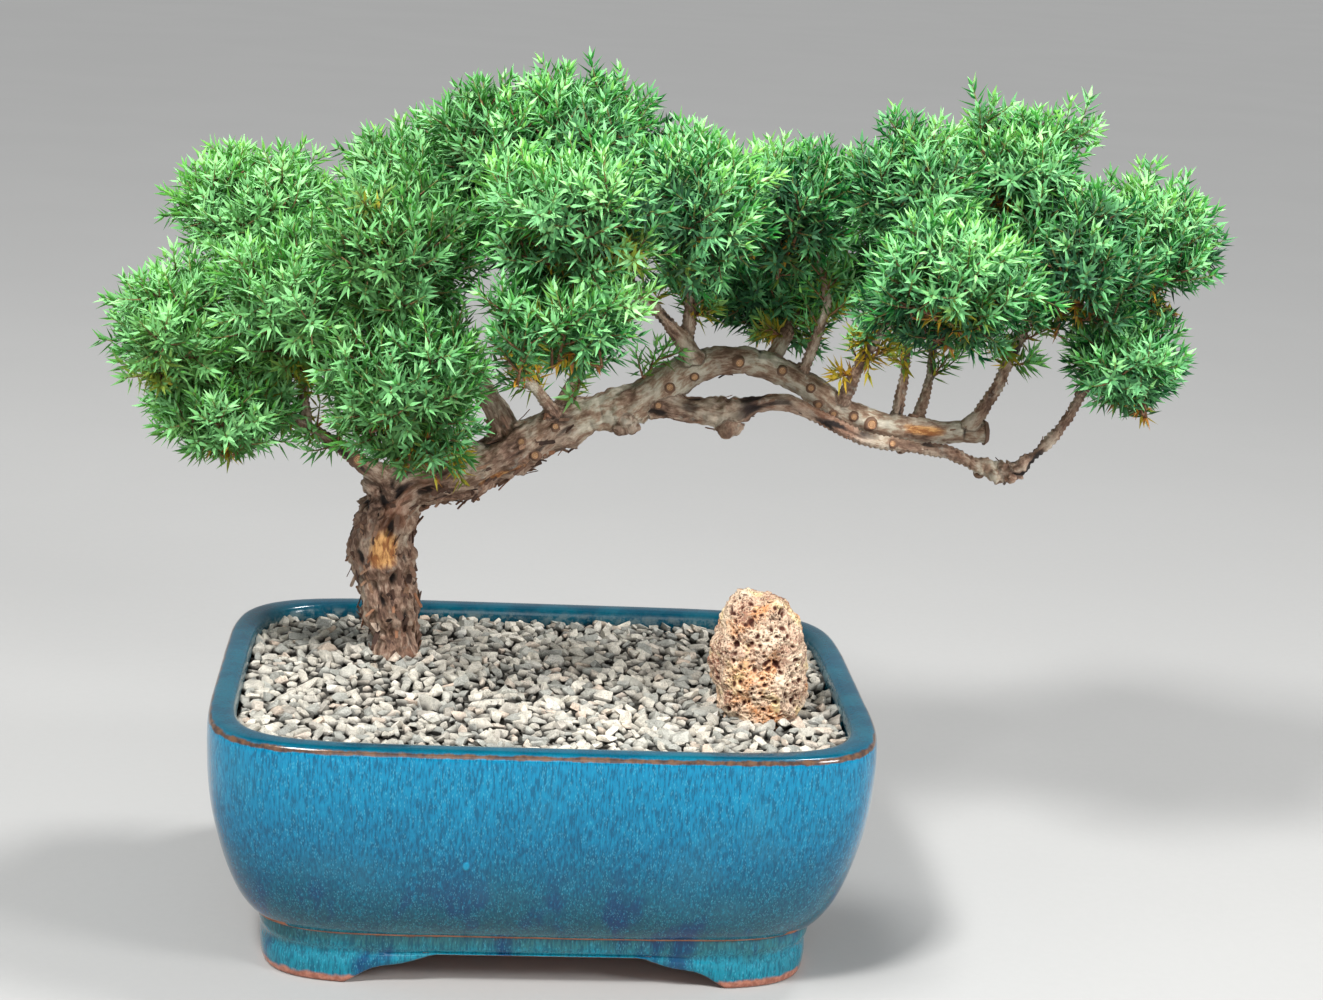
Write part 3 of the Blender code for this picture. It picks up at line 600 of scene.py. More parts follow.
def makeTwigs():
    material, tree, shader, place = startMaterial("twigBark", 0.85)
    made = useGroup(tree, mottle, Place=place, Scale=320.0, Grain=1500.0,
                    Dark=colour(78, 48, 34), Light=colour(164, 118, 84))
    green = addAttribute(tree, "along")
    body = addMix(tree, addRange(tree, green, 0.35, 0.9), made["Tone"], colour(112, 124, 60))
    feed(tree, shader.inputs["Base Color"], body)
    feed(tree, shader.inputs["Normal"], addBump(tree, made["Height"], 0.0005, 0.8))
    return material


print("finishes mixed")


# The pot: one outline pushed up, out and in ring by ring, feet first
potShape = {
    "length": 0.280, "width": 0.205, "height": 0.112, "rimWidth": 0.0115,
    "cornerSegments": 72, "cornerProfile": 0.7937,  # gives the soft rectangle of the plan
    "foot": [(0.0150, 0.0395), (0.0080, 0.0393), (0.0012, 0.0393), (0.0000, 0.0383), (0.0000, 0.0235),
             (0.0005, 0.0228), (0.0016, 0.0225), (0.0070, 0.0221), (0.0110, 0.0224), (0.0130, 0.0230)],
    "wall": [(0.0150, 0.0227), (0.0170, 0.0216), (0.0190, 0.0212), (0.0228, 0.0214), (0.0246, 0.0188),
             (0.0300, 0.0148), (0.0380, 0.0108), (0.0480, 0.0073), (0.0590, 0.0044), (0.0710, 0.0021),
             (0.0840, 0.0006), (0.0980, 0.0000), (0.1060, 0.0001)],
    "rim": [(0.1085, 0.0003), (0.1102, 0.0007), (0.1113, 0.0015), (0.1119, 0.0028), (0.1120, 0.0046),
            (0.1120, 0.0072), (0.1118, 0.0088), (0.1111, 0.0101), (0.1100, 0.0110), (0.1080, 0.0114)],
    "insideWall": 0.0095, "floor": 0.027, "underside": 0.0165,
    "footLength": 0.038, "footHalf": (0.1175, 0.0800),
    "arch": [(0.000, 0.0), (0.003, 0.0022), (0.006, 0.0041), (0.009, 0.0062), (0.013, 0.0078),
             (0.018, 0.0087), (0.023, 0.0095), (0.031, 0.0120), (0.036, 0.0141)],
    "drainHole": 0.008, "drainSpacing": 0.100,
    "unevenness": 0.00022, "ringStep": 0.0032,
    "rimTurn": 0.1104, "groove": 0.0228, "limeLine": 0.1072,  # heights where the glaze changes
    "glazeDrop": (0.0316, 0.0434),  # how far left of the middle, and 0.7 of how high
}


def finerRings(rings):
    made = []
    for number in range(len(rings) - 1):
        before = rings[max(number - 1, 0)]
        start, end = rings[number], rings[number + 1]
        after = rings[min(number + 2, len(rings) - 1)]
        parts = max(1, round(math.dist(start, end) / potShape["ringStep"]))
        for part in range(parts):
            t = part / parts
            made.append(tuple(onCurve(a, b, c, d, t) for a, b, c, d in zip(before, start, end, after)))
    made.append(rings[-1])
    return made


def wallInset(height):
    rings = potShape["wall"]
    return float(np.interp(height, [ring[0] for ring in rings], [ring[1] for ring in rings]))


def makePot():
    shape = potShape
    deselectAll()
    bpy.ops.mesh.primitive_cube_add(size=1, location=(0, 0, 0))
    pot = bpy.context.object
    pot.name = "pot_glazed"
    bpy.ops.object.mode_set(mode="EDIT")
    bpy.ops.mesh.select_mode(type="EDGE")
    editNothingSelected(pot)
    for edge in pot.data.edges:
        ends = [pot.data.vertices[number].co for number in edge.vertices]
        edge.select = abs(ends[0].z - ends[1].z) > 0.5
    bpy.ops.object.mode_set(mode="EDIT")
    bpy.ops.mesh.bevel(offset=0.4999, segments=shape["cornerSegments"], profile=shape["cornerProfile"])
    bpy.ops.mesh.select_mode(type="VERT")
    selectVerts(pot, lambda co: co.z > 0)
    bpy.ops.mesh.delete(type="VERT")
    bpy.ops.mesh.select_all(action="SELECT")
    halfLength, halfWidth = shape["length"] / 2, shape["width"] / 2
    rings = [(shape["underside"], 0.0395)] + shape["foot"] + finerRings(shape["wall"]) + shape["rim"]
    lower = 0.1060
    while lower > 0.034:
        rings.append((lower, wallInset(lower) + shape["insideWall"] + 0.002 * (lower > 0.1)))
        lower -= 0.006
    rings += [(0.0310, wallInset(0.031) + 0.0102), (0.0285, wallInset(0.0285) + 0.0124),
              (shape["floor"], wallInset(0.027) + 0.0165)]
    wide, deep, height = 1.0, 1.0, -0.5
    for number, (level, inset) in enumerate(rings):
        newWide, newDeep = 2 * (halfLength - inset), 2 * (halfWidth - inset)
        if number:
            bpy.ops.mesh.extrude_region_move(TRANSFORM_OT_translate={"value": (0, 0, level - height)})
        else:
            bpy.ops.transform.translate(value=(0, 0, level - height))
        bpy.ops.transform.resize(value=(newWide / wide, newDeep / deep, 1), center_override=(0, 0, level))
        wide, deep, height = newWide, newDeep, level
    bpy.ops.mesh.select_all(action="SELECT")
    bpy.ops.mesh.normals_make_consistent(inside=False)
    bpy.ops.object.mode_set(mode="OBJECT")
    # the skirt between the feet is lifted into low arches
    runs, heights = zip(*shape["arch"])
    skirtTop = shape["foot"][0][0]
    for vert in pot.data.vertices:
        if vert.co.z < skirtTop + 0.00005:
            arch = max(
                float(np.interp(half - shape["footLength"] - abs(side), runs, heights, left=0.0))
                for half, side in zip(shape["footHalf"], vert.co[:2]))
            vert.co.z = arch + vert.co.z * (skirtTop - arch) / skirtTop
    for side in (-0.5, 0.5):
        deselectAll()
        bpy.ops.mesh.primitive_cylinder_add(vertices=40, radius=shape["drainHole"], depth=0.04,
                                            location=(side * shape["drainSpacing"], 0, 0.022))
        drill = bpy.context.object
        cut = pot.modifiers.new("drain", "BOOLEAN")
        cut.operation, cut.solver, cut.object = "DIFFERENCE", "EXACT", drill
        applyModifiers(pot)
        bpy.data.objects.remove(drill)
    # a pressed and glazed wall is never dead flat
    points = pot.data.vertices
    normals = [vert.normal.copy() for vert in points]
    for vert, normal in zip(points, normals):
        if vert.co.z > 0.016 and abs(normal.z) < 0.8:
            wave = noise.noise(vert.co * 34) + 0.4 * noise.noise(vert.co * 90)
            vert.co += shape["unevenness"] * wave * normal
    inside, thin, lime = [], [], []
    for vert in points:
        x, y, z = vert.co
        ring = (abs(x / halfLength) ** 6 + abs(y / halfWidth) ** 6) ** (1 / 6)
        inset = (1 - ring) * halfWidth
        within = clampUnit((inset - wallInset(z) - 0.0050) / 0.0025) if z > 0.028 else 0.0
        rimTop = clampUnit((z - 0.1106) / 0.0008)
        inside.append(max(within, rimTop))
        if z < shape["rimTurn"]:
            rimEdge = math.exp(-((z - shape["rimTurn"]) / 0.0016) ** 2)
        else:
            rimEdge = 1 - clampUnit((inset - 0.0004) / 0.0022)
        rimEdge *= 1 - within
        groove = math.exp(-((z - shape["groove"]) / 0.0009) ** 2) * 0.50
        sole = math.exp(-(z / 0.0038) ** 4) * 0.95
        thin.append(max(rimEdge * 0.95, groove, sole if inset < 0.035 or z > 0.05 else 1.0))
        lime.append(within * math.exp(-((z - shape["limeLine"]) / 0.0022) ** 2))
    putAttribute(pot.data, "inside", "FLOAT", "POINT", inside)
    putAttribute(pot.data, "thinGlaze", "FLOAT", "POINT", thin)
    putAttribute(pot.data, "limeLine", "FLOAT", "POINT", lime)
    shareOut(pot, ["pot"], makeGlaze())
    pot.data.materials.append(makeBareClay())
    for face in pot.data.polygons:
        low = face.center.z < 0.0006 and face.normal.z < -0.5
        inward = max(abs(face.center.x) - halfLength, abs(face.center.y) - halfWidth) < -0.036
        under = face.center.z < 0.0295 and (face.normal.z < -0.7 or inward)
        buried = 0.026 < face.center.z < 0.098 and inside[face.vertices[0]] > 0.9
        face.material_index = 1 if low or under or buried else 0
    pot.location = (potMiddle.x, potMiddle.y, 0)
    applyPlace(pot)
    bpy.ops.object.shade_smooth_by_angle(angle=math.radians(50))
    return pot


makePot()
print("pot shaped and glazed")


# Crushed gravel: a few chips are broken from blocks, then strewn over a dark bed
gravel = {
    "shapes": 18, "chipShape": (1.45, 0.83, 0.56), "cuts": 9,
    "layers": [  # name, most chips, gap, margin at the rim, sizes, how deep it sinks, seeds
        ("gravel_chips_low", 1700, 0.0045, 0.0012, (0.0018, 0.0036), 0.0034, (11, 21)),
        ("gravel_chips_top", 2500, 0.0042, 0.0014, (0.0018, 0.0036), 0.0004, (12, 22)),
        ("gravel_fines", 700, 0.0040, 0.0018, (0.0012, 0.0019), 0.0008, (13, 23))],
    "moundHeight": 0.0050, "moundSpread": 0.045, "edgeHeight": 0.1035, "backRise": 0.0025, "ripple": 0.0012,
    "bedLevel": 0.1005, "bedDrop": 0.0042,
}


def gravelTop(x, y):
    x, y = x - potMiddle.x, y - potMiddle.y
    away = math.hypot(x - trunkOffset[0], y - trunkOffset[1])
    mound = gravel["moundHeight"] * math.exp(-(away / gravel["moundSpread"]) ** 2)
    back = gravel["backRise"] * (0.5 + y / potShape["width"])
    return gravel["edgeHeight"] + mound + back + gravel["ripple"] * noise.noise((x * 60, y * 60, 0.5))


def breakChip(number):
    random.seed(100 + number)
    long, wide, tall = gravel["chipShape"]
    deselectAll()
    bpy.ops.mesh.primitive_cube_add(size=1.9, location=(0, 0, 0))
    chip = bpy.context.object
    chip.scale = (long, random.uniform(0.70, 0.95), random.uniform(0.42, 0.70))
    applyPlace(chip)
    bpy.ops.object.mode_set(mode="EDIT")
    for cut in range(gravel["cuts"]):
        away = Vector([random.gauss(0, 1) for axis in range(3)]).normalized()
        reach = random.uniform(0.46, 0.92) * math.hypot(away.x * long, away.y * wide, away.z * tall)
        bpy.ops.mesh.select_all(action="SELECT")
        bpy.ops.mesh.bisect(plane_co=away * reach, plane_no=away, use_fill=True, clear_outer=True)
    bpy.ops.mesh.select_all(action="SELECT")
    bpy.ops.mesh.dissolve_limited(angle_limit=math.radians(16))
    bpy.ops.mesh.select_all(action="SELECT")
    bpy.ops.mesh.quads_convert_to_tris()
    bpy.ops.mesh.normals_make_consistent(inside=False)
    bpy.ops.object.mode_set(mode="OBJECT")
    arrays = sourceArrays(chip)
    bpy.data.objects.remove(chip)
    return arrays


def strewSpots(count, gap, margin, seed):
    # spots at least a gap apart within the pot's opening
    dice = random.Random(seed)
    halfLength = potShape["length"] / 2 - potShape["rimWidth"] - margin
    halfWidth = potShape["width"] / 2 - potShape["rimWidth"] - margin
    spots, cells = [], {}
    tries = 0
    while len(spots) < count and tries < count * 60:
        tries += 1
        x, y = dice.uniform(-halfLength, halfLength), dice.uniform(-halfWidth, halfWidth)
        if abs(x / halfLength) ** 8 + abs(y / halfWidth) ** 7 > 1:
            continue
        key = (int(x // gap), int(y // gap))
        around = [(key[0] + i, key[1] + j) for i in (-1, 0, 1) for j in (-1, 0, 1)]
        near = [spot for cell in around for spot in cells.get(cell, [])]
        if any(math.dist(spot, (x, y)) < gap for spot in near):
            continue
        spots.append((x, y))
        cells.setdefault(key, []).append((x, y))
    return [(x + potMiddle.x, y + potMiddle.y) for x, y in spots]


def strewChips(name, spots, sizes, sink, seed, shapes, material):
    dice = np.random.default_rng(seed)
    pieces = []
    groups = dice.integers(0, len(shapes), len(spots))
    for group, shape in enumerate(shapes):
        chosen = [spot for spot, mine in zip(spots, groups) if mine == group]
        count = len(chosen)
        if not count:
            continue
        size = dice.uniform(sizes[0], sizes[1], count)
        size = size * np.where(dice.random(count) < 0.06, 1.4, 1.0)  # a few are larger
        tilt = dice.normal(0, 0.75, (count, 3))
        up = np.array([0, 0, 1.0]) + tilt
        heading = dice.uniform(0, math.tau, count)
        direction = np.stack([np.cos(heading), np.sin(heading), dice.normal(0, 0.28, count)], 1)
        places = np.array([(x, y, gravelTop(x, y)) for x, y in chosen])
        tops = places[:, 2] + 0.0010
        places[:, 2] -= sink + dice.uniform(-0.0004, 0.0016, count)
        size = size[:, None] * dice.uniform(0.85, 1.15, (count, 3))
        piece, perCopy = copyAll(name, shape, turnTo(direction, up), size, places, False)
        putAttribute(piece.data, "tint", "FLOAT", "POINT", np.repeat(dice.random(count), perCopy))
        # how far each vertex sits below the chip tops, painted darker lower down as painted shade between the
        # chips
        down = (np.repeat(tops, perCopy) - vertexArray(piece.data)[:, 2]) / 0.0042
        putAttribute(piece.data, "deep", "FLOAT", "POINT", np.clip(down, 0, 1))
        pieces.append(piece)
    deselectAll()
    for piece in pieces:
        piece.select_set(True)
    bpy.context.view_layer.objects.active = pieces[0]
    bpy.ops.object.join()
    whole = bpy.context.object
    whole.name = name
    return shareOut(whole, ["gravel_top_dressing"], material)


def makeGravel():
    bed = copyOfNode("gravel_top_dressing", "gravel_bed")
    for vert in bed.data.vertices:
        if vert.co.z > gravel["bedLevel"]:
            vert.co.z -= gravel["bedDrop"]
    shareOut(bed, ["gravel_top_dressing"], makeBed())
    shapes = [breakChip(number) for number in range(gravel["shapes"])]
    material = makeChips()
    for name, count, gap, margin, sizes, sink, seeds in gravel["layers"]:
        spots = strewSpots(count, gap, margin, seeds[0])
        strewChips(name, spots, sizes, sink, seeds[1], shapes, material)


makeGravel()
print("gravel strewn")


# The lava rock: remeshed fine, then lumps raised and pores sunk into it
lava = {
    "voxel": 0.00043, "lump": 0.0030, "pit": 0.0036,
    "pores": [  # cells per metre, reach, depth, and what a cell's lot has to pass to be a pore
        (185.0, 0.46, 1.00, 0.02), (320.0, 0.55, 0.72, -0.24), (600.0, 0.62, 0.46, -0.40)],
}


def makeLavaRock():
    rock = copyOfNode("lava_rock", "rock_lava")
    remesh = rock.modifiers.new("fine", "REMESH")
    remesh.mode, remesh.voxel_size = "VOXEL", lava["voxel"]
    soften = rock.modifiers.new("soften", "SMOOTH")
    soften.iterations = 12
    applyModifiers(rock)
    normals = [vert.normal.copy() for vert in rock.data.vertices]
    pores = []
    for vert, normal in zip(rock.data.vertices, normals):
        place = vert.co + 0.0016 * noise.noise_vector(vert.co * 160)
        place = place + 0.0006 * noise.noise_vector(vert.co * 420)
        lumps = noise.fractal(vert.co * 75, 0.9, 2.1, 4) * lava["lump"]
        pore = 0.0
        for scale, reach, depth, share in lava["pores"]:
            near, middles = noise.voronoi(place * scale)
            lot = noise.noise(middles[0] * 3.7)
            if lot > share:
                width = reach * (0.7 + 0.5 * abs(lot))
                pore = max(pore, depth * (1 - min(1.0, (near[0] / width) ** 2)))
        pores.append(pore)
        vert.co += normal * (lumps - lava["pit"] * pore * 0.7 - 0.0004)
    putAttribute(rock.data, "pore", "FLOAT", "POINT", pores)
    pick(rock)
    bpy.ops.object.shade_smooth()
    return shareOut(rock, ["lava_rock"], makeLava())


makeLavaRock()
print("lava rock pitted")


# The tree. A limb's route is measured from the foot of the trunk: x, y, z and half thickness
limbs = {
    "trunk": [
        (0.000, 0.002, 0.004, 0.0105), (-0.002, 0.002, 0.012, 0.0115), (-0.004, 0.001, 0.024, 0.0128),
        (-0.006, 0.001, 0.038, 0.0142), (-0.007, 0.000, 0.048, 0.0146), (-0.005, -0.002, 0.060, 0.0136),
        (-0.001, -0.004, 0.071, 0.0130), (0.007, -0.006, 0.079, 0.0118), (0.019, -0.008, 0.083, 0.0112),
        (0.032, -0.010, 0.088, 0.0116), (0.048, -0.012, 0.096, 0.0108), (0.067, -0.013, 0.108, 0.0096),
        (0.086, -0.013, 0.115, 0.0090), (0.104, -0.013, 0.122, 0.0086), (0.124, -0.013, 0.136, 0.0076),
        (0.146, -0.013, 0.141, 0.0064), (0.167, -0.013, 0.135, 0.0060), (0.182, -0.013, 0.126, 0.0060),
        (0.196, -0.013, 0.118, 0.0060), (0.220, -0.013, 0.113, 0.0057), (0.239, -0.013, 0.112, 0.0054),
        (0.256, -0.013, 0.113, 0.0048)],
    "underBranch": [
        (0.104, -0.014, 0.121, 0.0066), (0.128, -0.019, 0.119, 0.0056), (0.141, -0.021, 0.119, 0.0052),
        (0.150, -0.022, 0.123, 0.0043), (0.166, -0.023, 0.125, 0.0037), (0.181, -0.024, 0.119, 0.0034),
        (0.199, -0.024, 0.111, 0.0033), (0.219, -0.024, 0.108, 0.0031), (0.238, -0.024, 0.106, 0.0031),
        (0.250, -0.025, 0.101, 0.0031), (0.264, -0.027, 0.098, 0.0036), (0.274, -0.029, 0.106, 0.0028),
        (0.282, -0.031, 0.116, 0.0026), (0.288, -0.032, 0.127, 0.0026), (0.293, -0.033, 0.140, 0.0024),
        (0.294, -0.033, 0.152, 0.0022), (0.297, -0.031, 0.163, 0.0020), (0.306, -0.025, 0.177, 0.0017),
        (0.316, -0.019, 0.194, 0.0015)],
    "farLowTwig": [
        (0.294, -0.033, 0.150, 0.0020), (0.305, -0.038, 0.156, 0.0016)],
    "leftBranch": [
        (-0.003, -0.006, 0.080, 0.0060), (-0.015, -0.015, 0.088, 0.0039), (-0.026, -0.023, 0.098, 0.0031),
        (-0.039, -0.031, 0.108, 0.0028), (-0.053, -0.039, 0.117, 0.0025), (-0.069, -0.043, 0.127, 0.0022),
        (-0.085, -0.045, 0.141, 0.0019), (-0.094, -0.042, 0.151, 0.0016)],
    "leftMidTwig": [
        (-0.039, -0.031, 0.108, 0.0022), (-0.042, -0.040, 0.135, 0.0018), (-0.045, -0.049, 0.162, 0.0015)],
    "leftUpperBranch": [
        (0.002, -0.004, 0.082, 0.0060), (0.000, 0.001, 0.110, 0.0042), (-0.014, 0.004, 0.145, 0.0032),
        (-0.040, 0.005, 0.177, 0.0024), (-0.062, 0.005, 0.196, 0.0018)],
    "rearLeftTwig": [
        (-0.006, 0.003, 0.128, 0.0026), (-0.018, 0.018, 0.148, 0.0020), (-0.028, 0.036, 0.162, 0.0016)],
    "leader": [
        (0.047, -0.010, 0.099, 0.0080), (0.040, -0.006, 0.115, 0.0062), (0.034, -0.004, 0.122, 0.0054),
        (0.025, -0.009, 0.135, 0.0044), (0.015, -0.019, 0.155, 0.0035), (0.008, -0.029, 0.173, 0.0026),
        (0.002, -0.050, 0.187, 0.0018)],
    "frontLeftTwig": [
        (0.026, -0.008, 0.134, 0.0030), (0.019, -0.036, 0.140, 0.0022), (0.008, -0.070, 0.143, 0.0017)],
    "upperLeftTwig": [
        (0.015, -0.019, 0.155, 0.0026), (0.010, -0.009, 0.180, 0.0020), (0.003, -0.001, 0.209, 0.0016)],
    "crownBranch": [
        (0.126, -0.016, 0.141, 0.0046), (0.112, -0.025, 0.158, 0.0033), (0.097, -0.035, 0.173, 0.0029),
        (0.082, -0.043, 0.188, 0.0024), (0.072, -0.033, 0.210, 0.0020), (0.067, -0.023, 0.238, 0.0016)],
    "crownLeftTwig": [
        (0.082, -0.043, 0.188, 0.0020), (0.060, -0.037, 0.210, 0.0017), (0.038, -0.033, 0.227, 0.0014)],
    "crownFrontTwig": [
        (0.082, -0.043, 0.188, 0.0020), (0.074, -0.062, 0.199, 0.0017), (0.068, -0.078, 0.207, 0.0014)],
    "frontLowTwig": [
        (0.097, -0.035, 0.173, 0.0021), (0.083, -0.059, 0.173, 0.0017), (0.068, -0.083, 0.176, 0.0014)],
    "rearCentreBranch": [
        (0.068, -0.010, 0.114, 0.0044), (0.076, 0.004, 0.128, 0.0032), (0.070, 0.018, 0.158, 0.0024),
        (0.066, 0.028, 0.184, 0.0017)],
    "centreTwig": [
        (0.122, -0.012, 0.138, 0.0040), (0.121, -0.023, 0.167, 0.0026), (0.117, -0.039, 0.195, 0.0020),
        (0.116, -0.049, 0.210, 0.0015)],
    "yellowSpur": [
        (0.066, -0.018, 0.115, 0.0036), (0.057, -0.027, 0.127, 0.0026), (0.049, -0.037, 0.136, 0.0021),
        (0.043, -0.044, 0.142, 0.0016)],
    "centreRightBranch": [
        (0.158, -0.011, 0.138, 0.0044), (0.166, -0.001, 0.151, 0.0033), (0.174, 0.009, 0.158, 0.0029),
        (0.170, 0.023, 0.165, 0.0020)],
    "centreRightTwig": [
        (0.172, -0.014, 0.134, 0.0032), (0.178, -0.017, 0.155, 0.0025), (0.181, -0.018, 0.168, 0.0022),
        (0.174, -0.015, 0.195, 0.0016)],
    "rightFrontBranch": [
        (0.190, -0.014, 0.122, 0.0036), (0.196, -0.027, 0.146, 0.0025), (0.201, -0.035, 0.159, 0.0023),
        (0.210, -0.053, 0.177, 0.0019), (0.218, -0.066, 0.186, 0.0015)],
    "rightInnerBranch": [
        (0.216, -0.011, 0.114, 0.0034), (0.219, -0.007, 0.136, 0.0023), (0.219, -0.007, 0.155, 0.0021),
        (0.215, -0.019, 0.190, 0.0018), (0.211, -0.028, 0.217, 0.0014)],
    "rearRightBranch": [
        (0.226, -0.009, 0.114, 0.0034), (0.233, 0.004, 0.134, 0.0021), (0.236, 0.020, 0.160, 0.0018),
        (0.235, 0.034, 0.182, 0.0015)],
    "rightEndBranch": [
        (0.246, -0.013, 0.113, 0.0042), (0.252, -0.017, 0.122, 0.0033), (0.258, -0.021, 0.136, 0.0028),
        (0.265, -0.025, 0.159, 0.0026), (0.272, -0.025, 0.179, 0.0022), (0.265, -0.017, 0.207, 0.0018),
        (0.258, -0.012, 0.230, 0.0014)],
    "rightMidTwig": [
        (0.270, -0.025, 0.172, 0.0020), (0.278, -0.039, 0.193, 0.0015)],
    "crookStub": [
        (-0.006, -0.006, 0.070, 0.0070), (-0.017, -0.008, 0.082, 0.0042)],
    "archKnob": [
        (0.096, -0.016, 0.115, 0.0060), (0.097, -0.019, 0.106, 0.0042)],
    "hangingStub": [
        (0.140, -0.021, 0.118, 0.0048), (0.142, -0.024, 0.108, 0.0036)],
    "underKnob": [
        (0.263, -0.027, 0.099, 0.0038), (0.269, -0.029, 0.096, 0.0034)],
}

bark = {
    "voxel": 0.00088, "stripScale": 230.0, "stripStretch": 0.36,
    "shaggyDepth": 0.0017, "smoothDepth": 0.0007, "rootLength": 0.030, "walkStep": 0.0015,
    "flakes": 560, "flakeLength": (0.0024, 0.0080), "flakeWidth": (0.0012, 0.0034),
    "swellHeight": 0.0021, "swellReach": 0.009,  # where a knob or a stub leaves its limb
    "hiddenScars": 16, "scarWidth": (0.0016, 0.0026), "sawnEnd": 0.0046,
}
tornPatches = [  # place from the trunk's foot, size along and across
    ((-0.006, -0.014, 0.050), 0.008, 0.006), ((0.228, -0.019, 0.114), 0.009, 0.0022),
    ((0.046, -0.022, 0.086), 0.012, 0.0030), ((-0.016, -0.008, 0.083), 0.004, 0.003)]
prunedSpots = [  # x and z from the trunk's foot, and the width of the cut
    (0.052, 0.103, 0.0019), (0.066, 0.110, 0.0017), (0.058, 0.097, 0.0021), (0.1145, 0.129, 0.0021),
    (0.125, 0.134, 0.0019), (0.144, 0.141, 0.0023), (0.163, 0.138, 0.0020), (0.176, 0.131, 0.0018),
    (0.180, 0.124, 0.0019), (0.187, 0.120, 0.0016), (0.196, 0.119, 0.0019), (0.2037, 0.116, 0.0027),
    (0.2126, 0.1095, 0.0017), (-0.018, 0.092, 0.0030), (0.110, 0.121, 0.0017)]


def isLump(spot):
    return spot["limb"].endswith(("Knob", "Stub"))


def shaggyShare(spot):
    if spot["limb"] == "trunk":
        return 1.0 - 0.85 * clampUnit((spot["run"] - 0.105) / 0.085)
    if isLump(spot):
        return 0.95
    return 0.75 if spot["limb"] == "underBranch" else 0.55


def walkLimbs():
    # close points down every limb, with heading, two sides, run so far and half thickness
    walked = []
    for number, (name, route) in enumerate(limbs.items()):
        centres = [trunkFoot + Vector(point[:3]) for point in route]
        widths = [point[3] for point in route]
        if name == "trunk":
            centres.insert(0, trunkFoot + Vector((0, 0.002, -bark["rootLength"])))
            widths.insert(0, widths[0] * 1.25)
        side, last, run = None, None, 0.0
        for index in range(len(centres) - 1):
            before = centres[max(index - 1, 0)]
            start, end = centres[index], centres[index + 1]
            after = centres[min(index + 2, len(centres) - 1)]
            parts = max(2, round((end - start).length / bark["walkStep"]))
            for part in range(parts):
                t = part / parts
                place = onCurve(before, start, end, after, t)
                ahead = ((end - start) * (1 - t) * 0.5 + (end - before) * (1 - t) * 0.25
                         + (end - start) * t * 0.5 + (after - start) * t * 0.25).normalized()
                if side is None:
                    side = ahead.orthogonal().normalized()
                else:
                    side = (last.rotation_difference(ahead) @ side).normalized()
                    run += (place - walked[-1]["place"]).length
                last = ahead
                radius = widths[index] * (1 - t) + widths[index + 1] * t
                walked.append({
                    "limb": name, "number": number, "place": place, "ahead": ahead, "side": side,
                    "other": ahead.cross(side), "run": run, "radius": radius})
    return walked


walkedLimbs = walkLimbs()
limbRuns = {spot["limb"]: spot["run"] for spot in walkedLimbs}
limbTree = KDTree(len(walkedLimbs))
for number, spot in enumerate(walkedLimbs):
    limbTree.insert(spot["place"], number)
limbTree.balance()


def nearestLimb(place):
    # the limb whose bark is nearest, so thick limbs win where they meet
    found = limbTree.find_n(place, 8)
    best = min(found, key=lambda item: item[2] - walkedLimbs[item[1]]["radius"])
    return walkedLimbs[best[1]]


